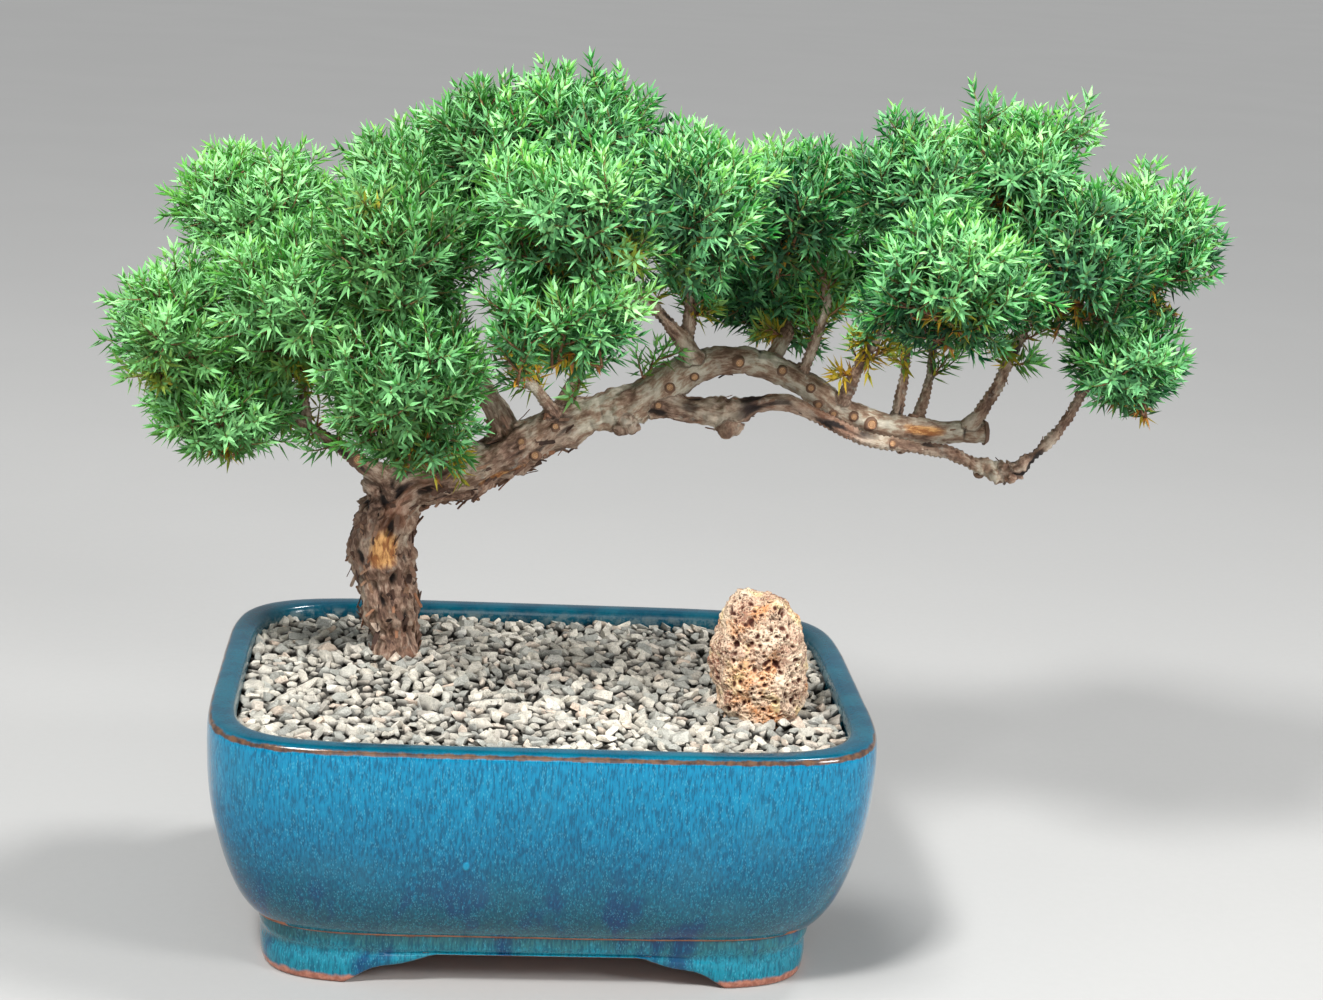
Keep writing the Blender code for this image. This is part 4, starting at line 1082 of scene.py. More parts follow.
def makeTrunk():
    swellings = [spot["place"] for spot in walkedLimbs if isLump(spot) and spot["run"] == 0.0]
    trunk = copyOfNode("trunk_and_branches", "tree_trunk")
    remesh = trunk.modifiers.new("fine", "REMESH")
    remesh.mode, remesh.voxel_size = "VOXEL", bark["voxel"]
    soften = trunk.modifiers.new("soften", "SMOOTH")
    soften.iterations = 5
    applyModifiers(trunk)
    normals = [vert.normal.copy() for vert in trunk.data.vertices]
    places, shaggy, crevices, fresh = [], [], [], []
    k, stretch = bark["stripScale"], bark["stripStretch"]
    for vert, normal in zip(trunk.data.vertices, normals):
        spot = nearestLimb(vert.co)
        offset = vert.co - spot["place"]
        a, b = offset.dot(spot["side"]), offset.dot(spot["other"])
        c = spot["run"] + offset.dot(spot["ahead"]) + 0.37 * spot["number"]
        turn = 9.0 * c if spot["limb"] == "trunk" else 0.0  # the grain winds slowly round the trunk
        a, b = a * math.cos(turn) - b * math.sin(turn), a * math.sin(turn) + b * math.cos(turn)
        share = clampUnit(shaggyShare(spot) + 0.9 * noise.noise(vert.co * 60))
        strips = noise.noise((a * k, b * k, c * k * stretch))
        fine = noise.noise((a * k * 2.3, b * k * 2.3, c * k * stretch * 2.5 + 7))
        plates = noise.noise((a * 120, b * 120, c * 90 + 3)) + 0.6 * noise.noise(vert.co * 330)
        knots = noise.noise((spot["run"] * 70, spot["number"] * 5.1, 0.3)) + 1.1 * noise.noise(vert.co * 90)
        cracks = max(0.0, noise.noise((a * 70, b * 70, c * 430)) - 0.16)
        crevice = clampUnit(-0.1 - 2.4 * strips)
        thick = min(1.0, max(0.10, spot["radius"] / 0.0105))
        torn = 0.0
        for where, long, wide in tornPatches:
            away = vert.co - (trunkFoot + Vector(where))
            down = away.dot(spot["ahead"])
            across = math.sqrt(max(away.length_squared - down * down, 0.0))
            torn = max(torn, math.exp(-(down / long) ** 4 - (across / wide) ** 4 * (1 + 0.8 * strips)))
        crumbs = noise.noise(vert.co * 260) + 0.7 * noise.noise(vert.co * 520)
        rough = 0.8 * strips + 0.45 * fine + 0.5 * plates + 0.6 * crumbs - 0.9 * crevice
        even = 0.6 * strips + 0.4 * fine + 1.3 * plates + 0.5 * crumbs - 3.0 * cracks
        depth = share * (bark["shaggyDepth"] * rough) + (1 - share) * (bark["smoothDepth"] * even)
        depth = thick * depth * (1 - 0.7 * torn)
        depth += (0.45 if isLump(spot) else 0.14) * spot["radius"] * knots - 0.0006 * torn
        if spot["radius"] < 0.0035:  # scaly joints on the thin twigs
            depth += 0.00035 * math.sin(c * 2600 + 3 * a * k) + 0.00025 * fine
        vert.co += normal * depth
        if isLump(spot):  # lumps end rounded, not sawn square
            past = clampUnit((spot["run"] / limbRuns[spot["limb"]] - 0.35) / 0.6)
            vert.co -= 0.25 * past ** 3 * (offset - spot["ahead"] * offset.dot(spot["ahead"]))
            vert.co -= spot["ahead"] * 0.0026 * past
            vert.co += noise.noise_vector(vert.co * 210) * 0.0011
        for swelling in swellings:
            swell = math.exp(-(vert.co - swelling).length_squared / bark["swellReach"] ** 2)
            vert.co += normal * bark["swellHeight"] * swell * (1 + 1.5 * crumbs)
        places.append((a, b, c))
        shaggy.append(share)
        # how deep in a crevice or crack each point lies, later darkened as painted shade
        crevices.append(max(crevice * (0.4 + 0.6 * share), 1.5 * cracks * (1 - share)))
        fresh.append(min(1.0, torn * 1.3) if torn > 0.25 else 0.0)
    putAttribute(trunk.data, "barkPlace", "FLOAT_VECTOR", "POINT", places)
    putAttribute(trunk.data, "shaggy", "FLOAT", "POINT", shaggy)
    putAttribute(trunk.data, "crevice", "FLOAT", "POINT", crevices)
    putAttribute(trunk.data, "freshWood", "FLOAT", "POINT", fresh)
    pick(trunk)
    bpy.ops.object.shade_smooth()
    return shareOut(trunk, ["trunk_and_branches"], makeBark())


def makeFlake():
    deselectAll()
    bpy.ops.mesh.primitive_cube_add(size=1, location=(0.5, 0, 0))
    flake = bpy.context.object
    flake.scale = (1, 1, 0.5)
    applyPlace(flake)
    bpy.ops.object.mode_set(mode="EDIT")
    for reach in (0.15, 0.4, 0.65, 0.88):
        bpy.ops.mesh.select_all(action="SELECT")
        bpy.ops.mesh.bisect(plane_co=(reach, 0, 0), plane_no=(1, 0, 0))
    bpy.ops.object.mode_set(mode="OBJECT")
    for vert in flake.data.vertices:
        x = vert.co.x
        vert.co.y *= 0.55 + 0.75 * x - 0.85 * x ** 3 + 0.12 * math.sin(9 * x)
        vert.co.z += 1.6 * x * x + 2.2 * vert.co.y ** 2
    arrays = sourceArrays(flake)
    bpy.data.objects.remove(flake)
    return arrays


def peelFlakes(trunk):
    source = makeFlake()
    dice = random.Random(31)
    verts = trunk.data.vertices
    layer = trunk.data.attributes["shaggy"].data
    directions, ups, sizes, places, tints = [], [], [], [], []
    tries = 0
    while len(places) < bark["flakes"] and tries < 60000:
        tries += 1
        number = dice.randrange(len(verts))
        spot = nearestLimb(verts[number].co)
        want = layer[number].value * min(1.0, spot["radius"] / 0.010)
        if dice.random() > want ** 1.5 or verts[number].co.z < trunkFoot.z - 0.002:
            continue
        small = min(1.0, spot["radius"] / 0.009)
        normal = verts[number].normal
        ahead = spot["ahead"] * dice.choice((-1, 1))
        lift = abs(dice.gauss(0.05, 0.16))
        heading = ahead + 0.50 * dice.gauss(0, 1) * normal.cross(ahead) + lift * normal
        directions.append(heading.normalized())
        ups.append(normal + 0.3 * Vector([dice.gauss(0, 1) for axis in range(3)]))
        long = dice.uniform(*bark["flakeLength"]) * small
        sizes.append((long, dice.uniform(*bark["flakeWidth"]) * small, 0.0005))
        places.append(verts[number].co - 0.0004 * normal)
        tints.append(dice.random())
    turns = turnTo(np.array(directions), np.array(ups))
    piece, perCopy = copyAll("bark_flakes", source, turns, np.array(sizes), np.array(places), False)
    putAttribute(piece.data, "tint", "FLOAT", "POINT", np.repeat(tints, perCopy))
    return shareOut(piece, ["trunk_and_branches"], makeFlakes())


def makeScar():
    deselectAll()
    bpy.ops.mesh.primitive_cylinder_add(vertices=14, radius=1, depth=1.2, location=(0, 0, 0))
    scar = bpy.context.object
    selectVerts(scar, lambda co: co.z > 0)
    bpy.ops.mesh.inset(thickness=0.22, depth=0.18)
    bpy.ops.mesh.inset(thickness=0.16, depth=-0.22)
    bpy.ops.mesh.inset(thickness=0.34, depth=0.06)
    selectVerts(scar, lambda co: co.z < -0.5)
    bpy.ops.transform.resize(value=(1.35, 1.35, 1), center_override=(0, 0, -0.6))
    bpy.ops.object.mode_set(mode="OBJECT")
    for vert in scar.data.vertices:
        vert.co *= 1 + 0.16 * noise.noise(vert.co * 1.7)
    points, faces = sourceArrays(scar)
    ring = np.where(points[:, 2] > 0.35, np.hypot(points[:, 0], points[:, 1]), 1.0)
    bpy.data.objects.remove(scar)
    points = points[:, [2, 0, 1]]  # the cut end looks down x
    return (points, faces), ring


def pruneScars(trunk):
    source, ring = makeScar()
    bvh = BVHTree.FromObject(trunk, bpy.context.evaluated_depsgraph_get())
    dice = random.Random(47)
    directions, sizes, places = [], [], []
    for x, z, width in prunedSpots:
        start = Vector((trunkFoot.x + x, -0.3, trunkFoot.z + z))
        place, normal = bvh.ray_cast(start, Vector((0, 1, 0)))[:2]
        if place is None:
            continue
        directions.append((normal + Vector((0, -0.5, 0.1))).normalized())
        places.append(place)
        sizes.append(width)
    spots = [spot for spot in walkedLimbs if spot["limb"] in ("trunk", "underBranch") and spot["run"] > 0.05]
    for number in range(bark["hiddenScars"]):  # more of them round the back and the top
        spot = dice.choice(spots)
        turn = dice.uniform(0, math.pi)
        away = (spot["side"] * math.cos(turn) + spot["other"] * math.sin(turn)).normalized()
        if away.y < 0:
            away = -away
        place = bvh.ray_cast(spot["place"] + away * 0.03, -away)[0]
        if place is None:
            continue
        directions.append(away)
        places.append(place)
        sizes.append(dice.uniform(*bark["scarWidth"]))
    end = trunkFoot + Vector(limbs["trunk"][-1][:3])  # the sawn end of the main limb
    heading = (end - (trunkFoot + Vector(limbs["trunk"][-2][:3]))).normalized()
    directions.append(heading)
    places.append(end + heading * 0.0001)
    sizes.append(bark["sawnEnd"])
    directions, places = np.array(directions), np.array(places)
    scale = np.array(sizes)[:, None] * np.array([[0.75, 1, 1]])
    scale[-1, 0] = 0.0016
    turns = turnTo(directions, np.array([[0.1, 0.2, 1.0]] * len(places)))
    piece = copyAll("pruning_scars", source, turns, scale, places)[0]
    putAttribute(piece.data, "ringPlace", "FLOAT", "POINT", np.tile(ring, len(places)))
    shareOut(piece, ["trunk_and_branches"], makeCutWood())
    pick(piece)
    bpy.ops.object.shade_smooth_by_angle(angle=math.radians(40))
    return piece


trunkPiece = makeTrunk()
print("trunk barked:", len(trunkPiece.data.polygons), "faces")
peelFlakes(trunkPiece)
pruneScars(trunkPiece)
print("loose bark and pruning scars set")


# The foliage: one needle is modelled, set in threes down each shoot, and the shoots fill each pad
needles = {
    "length": 0.0088, "width": 0.00195, "thickness": 0.00090,
    "whorlGap": 0.0023, "tuftGap": 0.0130, "tuftTry": 1100,
    "leader": (0.024, 0.034), "sideShoot": (0.011, 0.020), "sideShoots": (5, 8),
    "leaderStem": 0.00062, "sideStem": 0.00045, "leaderRise": 0.10, "sideRise": 0.30,
    "goldenTurn": 2.39996, "stemPoints": 4, "stemSides": 4,
    "standProud": 0.0022, "neighbourGap": 0.0022, "shootsPerHub": 5,
}


def makeNeedle():
    deselectAll()
    bpy.ops.mesh.primitive_cone_add(vertices=3, radius1=0.5, radius2=0, depth=1, end_fill_type="TRIFAN",
                                    location=(0, 0, 0.5))
    needle = bpy.context.object
    applyPlace(needle)
    selectVerts(needle, lambda co: co.z < 0.01)
    bpy.ops.transform.translate(value=(0, 0, 0.30))
    selectVerts(needle, lambda co: 0.2 < co.z < 0.4 and abs(co.x) + abs(co.y) < 0.01)
    bpy.ops.transform.translate(value=(0, 0, -0.30))
    bpy.ops.object.mode_set(mode="OBJECT")
    points, faces = sourceArrays(needle)
    points = points[:, [2, 0, 1]] * np.array([1, 1, -1])  # tip down x, flat face up
    normals = np.cross(points[faces[:, 1]] - points[faces[:, 0]], points[faces[:, 2]] - points[faces[:, 0]])
    middle = points.mean(axis=0)
    outward = (normals * (points[faces].mean(axis=1) - middle)).sum(axis=1)
    faces[outward < 0] = faces[outward < 0][:, ::-1]
    normals[outward < 0] *= -1
    flat = normals[:, 2] > 0.5 * np.linalg.norm(normals, axis=1)
    bpy.data.objects.remove(needle)
    return points, faces, flat


def makeTubes(name, paths, widths):
    # closed tapering twigs along routes that all have the same number of points
    paths, widths = np.asarray(paths), np.asarray(widths)
    count, long = paths.shape[:2]
    sides = needles["stemSides"]
    ahead = np.gradient(paths, axis=1)
    ahead /= np.linalg.norm(ahead, axis=2, keepdims=True)
    hint = np.where(np.abs(ahead[:, :, 2:3]) > 0.9, [[[1.0, 0, 0]]], [[[0, 0, 1.0]]])
    side = np.cross(hint, ahead)
    side /= np.linalg.norm(side, axis=2, keepdims=True)
    other = np.cross(ahead, side)
    turn = np.arange(sides) * math.tau / sides
    around = side[:, :, None] * np.cos(turn)[:, None] + other[:, :, None] * np.sin(turn)[:, None]
    rings = paths[:, :, None] + widths[:, :, None, None] * around
    points = np.concatenate([rings.reshape(count, -1, 3), paths[:, :1], paths[:, -1:]], axis=1)
    faces = []
    for ring in range(long - 1):
        for step in range(sides):
            a, b = ring * sides + step, ring * sides + (step + 1) % sides
            faces += [(a, b, b + sides), (a, b + sides, a + sides)]
    for step in range(sides):
        faces.append((long * sides, (step + 1) % sides, step))
        last = (long - 1) * sides
        faces.append((long * sides + 1, last + step, last + (step + 1) % sides))
    each = points.shape[1]
    triangles = np.array(faces)[None] + (np.arange(count) * each)[:, None, None]
    return meshFromTriangles(name, points.reshape(-1, 3), triangles.reshape(-1, 3))


def normalise(vectors):
    return vectors / np.maximum(np.linalg.norm(vectors, axis=-1, keepdims=True), 1e-9)


def padSurfaces():
    pads = {}
    for name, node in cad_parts.items():
        if not name.startswith("foliage_"):
            continue
        points, faces = sourceArrays(node)
        low, high = points.min(0), points.max(0)
        pads[name] = {"points": points, "faces": faces, "middle": (low + high) / 2, "half": (high - low) / 2,
                      "tree": BVHTree.FromPolygons([Vector(point) for point in points], faces.tolist())}
    return pads


def tuftSpots(name, pads, dice):
    # spots on the outside of a pad, none where it meets the next pad
    pad = pads[name]
    corners = pad["points"][pad["faces"]]
    areas = np.linalg.norm(np.cross(corners[:, 1] - corners[:, 0], corners[:, 2] - corners[:, 0]), axis=1)
    near = [other for key, other in pads.items() if key != name
            and np.linalg.norm(other["middle"] - pad["middle"]) < np.linalg.norm(other["half"] + pad["half"])]
    kept, outs = [], []
    for pickNumber in dice.choice(len(areas), needles["tuftTry"], p=areas / areas.sum()):
        u, v = dice.random(2)
        if u + v > 1:
            u, v = 1 - u, 1 - v
        a, b, c = corners[pickNumber]
        spot = a + u * (b - a) + v * (c - a)
        out = normalise((spot - pad["middle"]) / pad["half"] ** 2)
        gap = needles["tuftGap"] * (1.0 if out[2] > -0.35 else 1.45)
        if kept and np.min(np.linalg.norm(np.array(kept) - spot, axis=1)) < gap:
            continue
        close = (other["tree"].find_nearest(Vector(spot), needles["neighbourGap"])[0] for other in near)
        if any(place is not None for place in close):
            continue
        kept.append(spot)
        outs.append(out)
    return np.array(kept), np.array(outs)


def emptyStore():
    keys = ("paths", "widths", "stemAge", "place", "direction", "up", "size", "tint", "age")
    return {key: [] for key in keys}


def setShoot(base, heading, long, dice, bend, store, tint, shade, thickness):
    # one shoot: its own stem, and whorls of three needles turning forward to the tip
    rise = np.array([0, 0, 1.0]) * bend
    steps = np.linspace(0, 1, needles["stemPoints"])[:, None]
    store["paths"].append(base + heading * long * steps + rise * long * steps ** 2 / 2)
    store["widths"].append(thickness * (1 - 0.62 * steps[:, 0]))
    store["stemAge"].append(steps[:, 0])
    whorls = max(4, int(long / needles["whorlGap"]))
    t = (np.arange(whorls) + 0.6) / whorls
    t = np.repeat(t, 3)
    place = base + heading * long * t[:, None] + rise * long * t[:, None] ** 2 / 2
    ahead = normalise(heading + rise * t[:, None])
    side = normalise(np.cross(ahead, [0.3, 0.5, 0.81]))
    other = np.cross(ahead, side)
    turn = np.tile([0, math.tau / 3, 2 * math.tau / 3], whorls)
    turn = turn + np.repeat(np.arange(whorls), 3) * math.pi / 3
    turn = turn + dice.normal(0, 0.22, len(t)) + dice.uniform(0, 6)
    radial = side * np.cos(turn)[:, None] + other * np.sin(turn)[:, None]
    spread = np.radians(62 - 32 * t ** 2.2 + dice.normal(0, 8, len(t)))
    direction = ahead * np.cos(spread)[:, None] + radial * np.sin(spread)[:, None]
    size = needles["length"] * (0.92 + 0.10 * np.sin(math.pi * t) - 0.34 * t ** 6)
    size = size * dice.uniform(0.82, 1.12, len(t))
    age = np.clip(shade + 0.30 * (0.35 - t) + dice.normal(0, 0.05, len(t)), 0, 1)
    keep = dice.random(len(t)) < np.where(age > 0.4, 0.62, 0.96)
    store["place"].append((place + radial * thickness * 0.5)[keep])
    store["direction"].append(direction[keep])
    store["up"].append(ahead[keep])
    store["size"].append(size[keep])
    # the tint grows lighter out along the shoot and darker near its base: partly the lighter new growth at
    # the tips, partly painted shade deep in the pad
    store["tint"].append(np.clip(tint + 0.52 * t[keep] - 0.16 + dice.normal(0, 0.14, keep.sum()), 0, 1))
    store["age"].append(age[keep])


def gatherShoots(pieceName, store, source, flat, materials, nodes):
    # every shoot of a piece becomes one mesh: needles copied into place, stems as closed tubes
    place = np.concatenate(store["place"])
    size = np.concatenate(store["size"])
    turns = turnTo(np.concatenate(store["direction"]), np.concatenate(store["up"]))
    sizes = np.stack([size, size * 0 + needles["width"], size * 0 + needles["thickness"]], 1)
    leaves, perCopy = copyAll(pieceName, source, turns, sizes, place, False)
    count = len(place)
    # how far left each needle sits, for the painted light on the tree's left side
    left = np.clip((trunkFoot.x + 0.10 - place[:, 0]) / 0.16, 0, 1)
    for label, values in (("tint", np.concatenate(store["tint"])), ("age", np.concatenate(store["age"])),
                          ("sunSide", left)):
        putAttribute(leaves.data, label, "FLOAT", "POINT", np.repeat(values, perCopy))
    putAttribute(leaves.data, "along", "FLOAT", "POINT", np.tile(source[0][:, 0], count))
    # each needle's flat upper face, for its whitish bands and painted glint
    putAttribute(leaves.data, "bloomAndGlintSide", "FLOAT", "FACE", np.tile(flat.astype(float), count))
    leaves.data.materials.append(materials[0])
    stems = makeTubes(pieceName + "_stems", store["paths"], store["widths"])
    age = np.array(store["stemAge"])
    perPoint = np.concatenate([np.repeat(age, needles["stemSides"], axis=1), age[:, :1], age[:, -1:]], axis=1)
    putAttribute(stems.data, "along", "FLOAT", "POINT", perPoint)
    stems.data.materials.append(materials[1])
    deselectAll()
    stems.select_set(True)
    leaves.select_set(True)
    bpy.context.view_layer.objects.active = leaves
    bpy.ops.object.join()
    shareOut(leaves, nodes)
    return count


def reachLimb(place):
    # the nearest point on a thin or middling limb to start a branchlet from
    found = limbTree.find_n(Vector(place), 40)
    best = min(found, key=lambda item: item[2] + 2.0 * walkedLimbs[item[1]]["radius"])
    return walkedLimbs[best[1]]


def onBow(start, bow, end, t):
    return (1 - t) ** 2 * start + 2 * t * (1 - t) * bow + t ** 2 * end


def joinShoots(bases, dice, store):
    # the shoots' bases are gathered on a few hubs, and each hub grows from the nearest limb
    up = np.array([0, 0, 1.0])
    groups = max(3, len(bases) // needles["shootsPerHub"])
    hubs = bases[dice.choice(len(bases), groups, replace=False)]
    for turn in range(4):
        owner = np.argmin(np.linalg.norm(bases[:, None] - hubs[None], axis=2), axis=1)
        hubs = np.array([bases[owner == g].mean(0) if (owner == g).any() else hubs[g] for g in range(groups)])
    for g in range(groups):
        mine = bases[owner == g]
        if not len(mine):
            continue
        spot = reachLimb(hubs[g])
        root = np.array(spot["place"])
        hub = hubs[g] + 0.30 * (root - hubs[g])
        joins = [(root, hub, min(0.0013, 0.8 * spot["radius"]), 0.00095, np.array(spot["ahead"]))]
        joins += [(hub, base, 0.00085, 0.00060, hub - root) for base in mine]
        for start, end, thick, thin, lead in joins:
            span = np.linalg.norm(end - start)
            bow = start + normalise(lead + up * 0.002) * span * 0.45
            route = onBow(start, bow, end, np.linspace(0, 1, needles["stemPoints"])[:, None])
            route[1:3] += dice.normal(0, 0.0006, (2, 3))
            store["paths"].append(route)
            store["widths"].append(np.linspace(thick, thin, needles["stemPoints"]))
            store["stemAge"].append(np.zeros(needles["stemPoints"]))
            if span > 0.006:  # a few old needles still cling to the twig
                old = int(span / 0.0022) * 2
                store["place"].append(onBow(start, bow, end, dice.random(old)[:, None]))
                aim = normalise(end - start) * 0.6 + dice.normal(0, 0.6, (old, 3))
                store["direction"].append(normalise(aim))
                store["up"].append(np.tile(up, (old, 1)))
                store["size"].append(np.full(old, needles["length"] * 0.75))
                store["tint"].append(dice.random(old) * 0.5)
                store["age"].append(dice.uniform(0.35, 1.0, old))


def growPad(name, pads, source, flat, materials, seed):
    dice = np.random.default_rng(seed)
    pad = pads[name]
    tips, outs = tuftSpots(name, pads, dice)
    store = emptyStore()
    up = np.array([0, 0, 1.0])
    bases = []
    padTint = 0.38 + 0.12 * dice.normal()
    for tip, out in zip(tips, outs):
        low = max(0.0, -out[2])
        heading = normalise(0.85 * out + up * (0.50 - 0.25 * low) + dice.normal(0, 0.20, 3))
        if low > 0.3:  # under the pad the shoots grow out sideways
            aside = (tip - pad["middle"]) * [1, 1, 0]
            if np.linalg.norm(aside / pad["half"]) < 0.35:
                continue
            heading = normalise(normalise(aside) + [0, 0, 0.15] + dice.normal(0, 0.15, 3))
        room = np.linalg.norm(tip - pad["middle"])
        long = min(dice.uniform(*needles["leader"]), 1.35 * room)
        rising = max(0.0, out[2])
        proud = dice.normal(needles["standProud"], 0.0034) * (1 - 0.35 * rising) - 0.002 * rising
        tip = tip + heading * proud
        tip = tip - out * 0.010 * max(0.0, noise.noise(Vector(tip * 42)))  # hollows between the sprays
        if out[2] > 0.15 and dice.random() < 0.13:
            tip = tip + up * dice.uniform(0.003, 0.007)  # a few leaders stand clear
        base = tip - heading * long
        bases.append(base)
        under = np.clip((pad["middle"][2] - tip[2]) / pad["half"][2], 0, 1)
        shade = 0.05 + 0.22 * under ** 2 * dice.random() + 0.25 * (dice.random() < 0.10 * under + 0.01)
        # shoots that face up get a lighter tint as painted light from above
        tint = np.clip(padTint + 0.20 * (out[2] - 0.2) + dice.normal(0, 0.15), 0, 0.95)
        setShoot(base, heading, long, dice, needles["leaderRise"], store, tint, shade, needles["leaderStem"])
        across = normalise(np.cross(heading, [0.2, 0.3, 0.9]))
        for number in range(dice.integers(*needles["sideShoots"])):
            t = 0.18 + 0.66 * (number + dice.random() * 0.6) / needles["sideShoots"][1]
            turn = number * needles["goldenTurn"] + dice.uniform(-0.3, 0.3)
            away = across * math.cos(turn) + np.cross(heading, across) * math.sin(turn)
            lean = math.radians(dice.uniform(34, 58))
            ahead = normalise(heading * math.cos(lean) + away * math.sin(lean))
            reach = dice.uniform(*needles["sideShoot"]) * (1.12 - 0.35 * t)
            start = base + heading * long * t + up * needles["leaderRise"] * long * t * t / 2
            # side shoots near the leader's base get a darker tint as painted shade deep in the pad
            sideTint = np.clip(tint - 0.16 * (1 - t) + dice.normal(0, 0.08), 0, 1)
            sideShade = shade + 0.16 * (1 - t) * dice.random()
            setShoot(start, ahead, reach, dice, needles["sideRise"], store, sideTint, sideShade,
                     needles["sideStem"])
    joinShoots(np.array(bases), dice, store)
    return gatherShoots(name.replace("foliage_", "needles_"), store, source, flat, materials, [name])


# Short shoots on bare wood: inner ones that have turned yellow, and young green ones
innerShoots = {
    "gap": 0.0050, "reach": (0.010, 0.020), "barePart": 0.28,
    "bareLimbs": ("trunk", "underBranch", "crookStub", "archKnob", "hangingStub", "underKnob"),
    "placed": [  # start from the trunk's foot, heading, length and age
        ((0.051, -0.036, 0.137), (-0.6, -0.3, 0.5), 0.016, 0.60),
        ((0.049, -0.038, 0.138), (0.7, -0.4, 0.4), 0.014, 0.66),
        ((0.046, -0.042, 0.141), (-0.2, -0.5, 0.8), 0.015, 0.55),
        ((0.024, -0.021, 0.092), (-0.1, -0.4, 1.0), 0.018, 0.52),
        ((0.022, -0.020, 0.092), (0.5, -0.4, 0.9), 0.013, 0.45),
        ((0.074, -0.016, 0.121), (0.2, -0.2, 1.0), 0.016, 0.22),
        ((0.103, -0.018, 0.132), (0.6, -0.2, 0.9), 0.020, 0.20),
        ((0.196, -0.027, 0.146), (0.7, -0.3, 0.3), 0.016, 0.58),
        ((0.194, -0.024, 0.138), (-0.7, -0.3, 0.2), 0.013, 0.62),
        ((0.198, -0.030, 0.152), (-0.5, -0.5, 0.4), 0.014, 0.52),
        ((0.164, -0.004, 0.150), (-0.7, -0.4, 0.5), 0.015, 0.42),
        ((0.121, -0.021, 0.160), (0.6, -0.5, 0.3), 0.015, 0.46),
        ((0.219, -0.010, 0.140), (-0.4, -0.6, 0.4), 0.012, 0.48),
        ((0.262, -0.024, 0.150), (-0.6, -0.5, 0.3), 0.015, 0.40),
        ((0.262, -0.024, 0.146), (0.6, -0.4, 0.1), 0.014, 0.18),
        ((0.297, -0.033, 0.148), (-0.8, -0.2, 0.3), 0.012, 0.30)],
}


def growInnerShoots(source, flat, materials):
    dice = np.random.default_rng(77)
    store = emptyStore()
    last = -1.0
    for spot in walkedLimbs:
        name = spot["limb"]
        if name in innerShoots["bareLimbs"] or spot["run"] < innerShoots["barePart"] * limbRuns[name]:
            last = -1.0
            continue
        if last >= 0 and spot["run"] - last < innerShoots["gap"]:
            continue
        last = spot["run"]
        for number in range(2):
            turn = dice.uniform(0, math.tau)
            out = np.array(spot["side"]) * math.cos(turn) + np.array(spot["other"]) * math.sin(turn)
            heading = normalise(np.array(spot["ahead"]) * 0.7 + out + np.array([0, 0, 0.25]))
            age = dice.uniform(0.08, 0.62) * (1.1 - 0.5 * spot["run"] / limbRuns[name])
            setShoot(np.array(spot["place"]), heading, dice.uniform(*innerShoots["reach"]), dice, 0.25, store,
                     0.45, age, 0.00055)
    for start, heading, long, age in innerShoots["placed"]:
        place, heading = np.array(trunkFoot) + np.array(start), np.array(heading)
        setShoot(place, normalise(heading), long, dice, 0.2, store, 0.6, age + 0.04, 0.0006)
        for number in range(3):
            fork = place + heading * long * 0.25 * number
            lean = normalise(heading + dice.normal(0, 0.55, 3))
            setShoot(fork, lean, long * 0.6, dice, 0.2, store, 0.6, age + 0.04, 0.0005)
    return gatherShoots("needles_inner_shoots", store, source, flat, materials, [])


def growFoliage():
    pads = padSurfaces()
    points, faces, flat = makeNeedle()
    materials = (makeNeedles(), makeTwigs())
    total = 0
    for number, name in enumerate(sorted(pads)):
        total += growPad(name, pads, (points, faces), flat, materials, 300 + number)
    total += growInnerShoots((points, faces), flat, materials)
    print("foliage grown:", total, "needles")


growFoliage()


# Parts that keep their shape and only need a finish
def finishKeptParts():
    soil, plastic = makeSoil(), makeScreenPlastic()
    for node, material in (("soil_root_ball", soil), ("drainage_screen_left", plastic),
                           ("drainage_screen_right", plastic)):
        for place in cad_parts[node].material_slots:
            place.material = material


finishKeptParts()


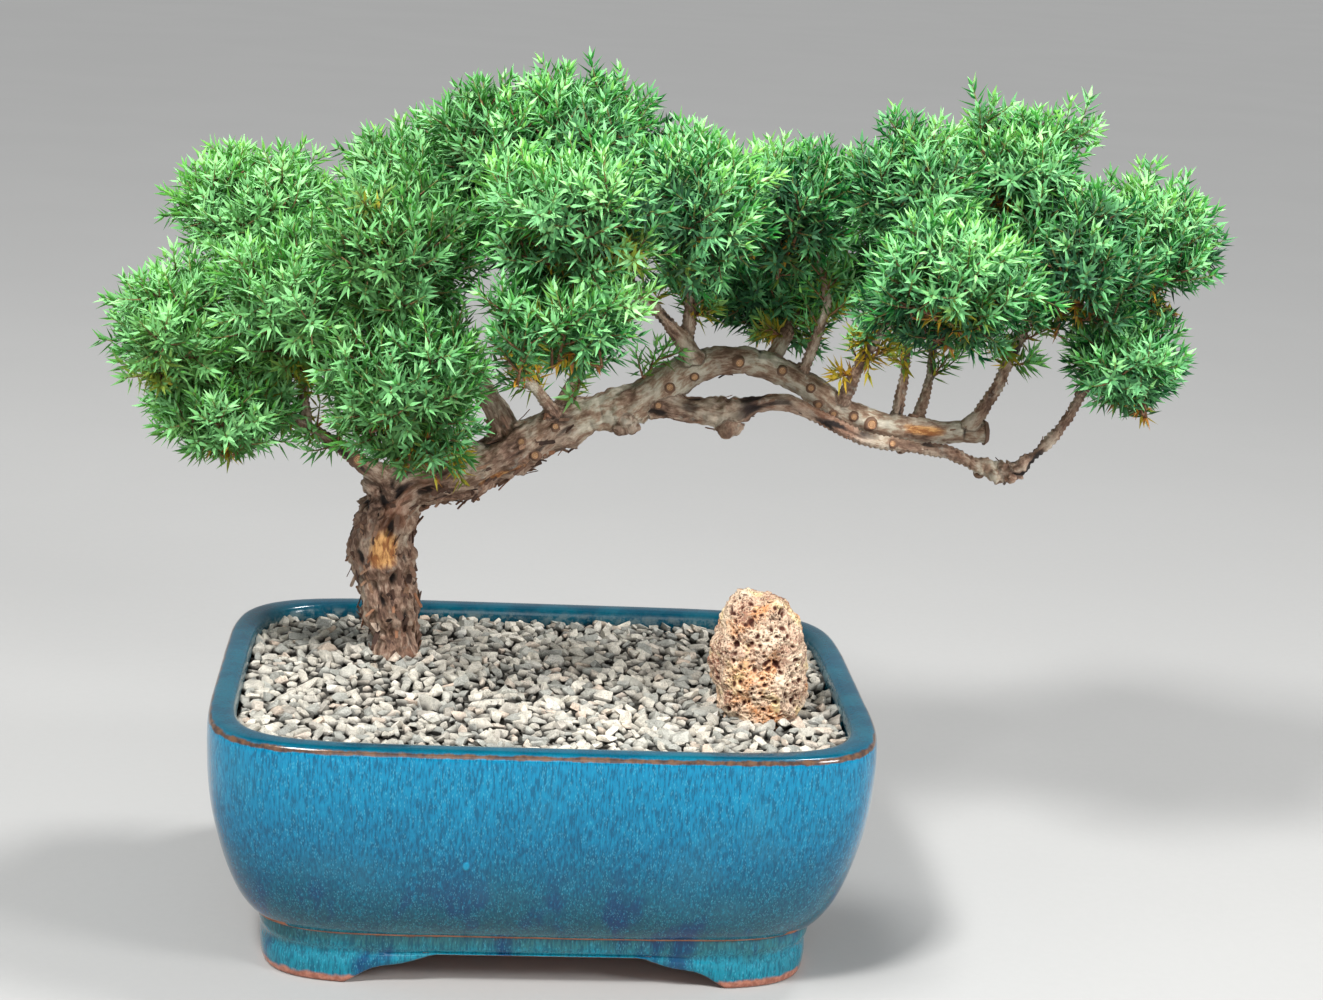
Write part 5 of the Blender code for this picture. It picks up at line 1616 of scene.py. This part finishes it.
# Floor, lights and camera
studio = {
    "floorTone": (0.40, 0.396, 0.385, 1), "worldTone": (0.90, 0.93, 0.97, 1), "worldPower": 0.42,
    "lights": [  # kind, place, size and power of each soft light
        ("keyLight", "AREA", (-0.60, -0.85, 1.50), 0.26, 34.0),
        ("fillLight", "AREA", (1.05, -0.85, 0.85), 0.34, 15.0),
        ("topLight", "SUN", (1.10, 0.35, 3.20), 0.16, 1.9),
        ("frontLight", "AREA", (-0.20, -1.80, 0.75), 0.70, 4.0)],
    "lens": 65.3, "cameraPlace": (-0.0975, -1.0008, 0.4545), "cameraTurn": (75.28, -3.352, -4.616),
}


def makeFloor():
    deselectAll()
    bpy.ops.mesh.primitive_plane_add(size=60, location=(0, 0, 0))
    floor = bpy.context.object
    floor.name = "studio_floor"
    material, tree, shader, place = startMaterial("palePaper", 0.75)
    tone = studio["floorTone"]
    made = useGroup(tree, mottle, Place=place, Scale=3.0, Grain=220.0,
                    Dark=tuple(part * 0.97 for part in tone[:3]) + (1,), Light=tone)
    feed(tree, shader.inputs["Base Color"], made["Tone"])
    floor.data.materials.append(material)


def lightStudio():
    middle = Vector((0, 0, 0.15))
    for name, kind, where, size, power in studio["lights"]:
        lamp = bpy.data.lights.new(name, kind)
        lamp.energy = power
        if kind == "SUN":
            lamp.angle = size
        else:
            lamp.size = size
        holder = bpy.data.objects.new(name, lamp)
        holder.location = where
        holder.rotation_euler = (middle - Vector(where)).to_track_quat("-Z", "Y").to_euler()
        bpy.context.scene.collection.objects.link(holder)
    world = bpy.data.worlds.new("studioAir")
    bpy.context.scene.world = world
    world.use_nodes = True
    air = world.node_tree.nodes["Background"]
    air.inputs["Color"].default_value = studio["worldTone"]
    air.inputs["Strength"].default_value = studio["worldPower"]


def setCamera():
    lens = bpy.data.cameras.new("studioCamera")
    lens.lens = studio["lens"]
    camera = bpy.data.objects.new("studioCamera", lens)
    camera.location = studio["cameraPlace"]
    camera.rotation_euler = [math.radians(angle) for angle in studio["cameraTurn"]]
    bpy.context.scene.collection.objects.link(camera)
    bpy.context.scene.camera = camera
    bpy.context.scene.view_settings.view_transform = "Standard"


makeFloor()
lightStudio()
setCamera()
print("studio lit")
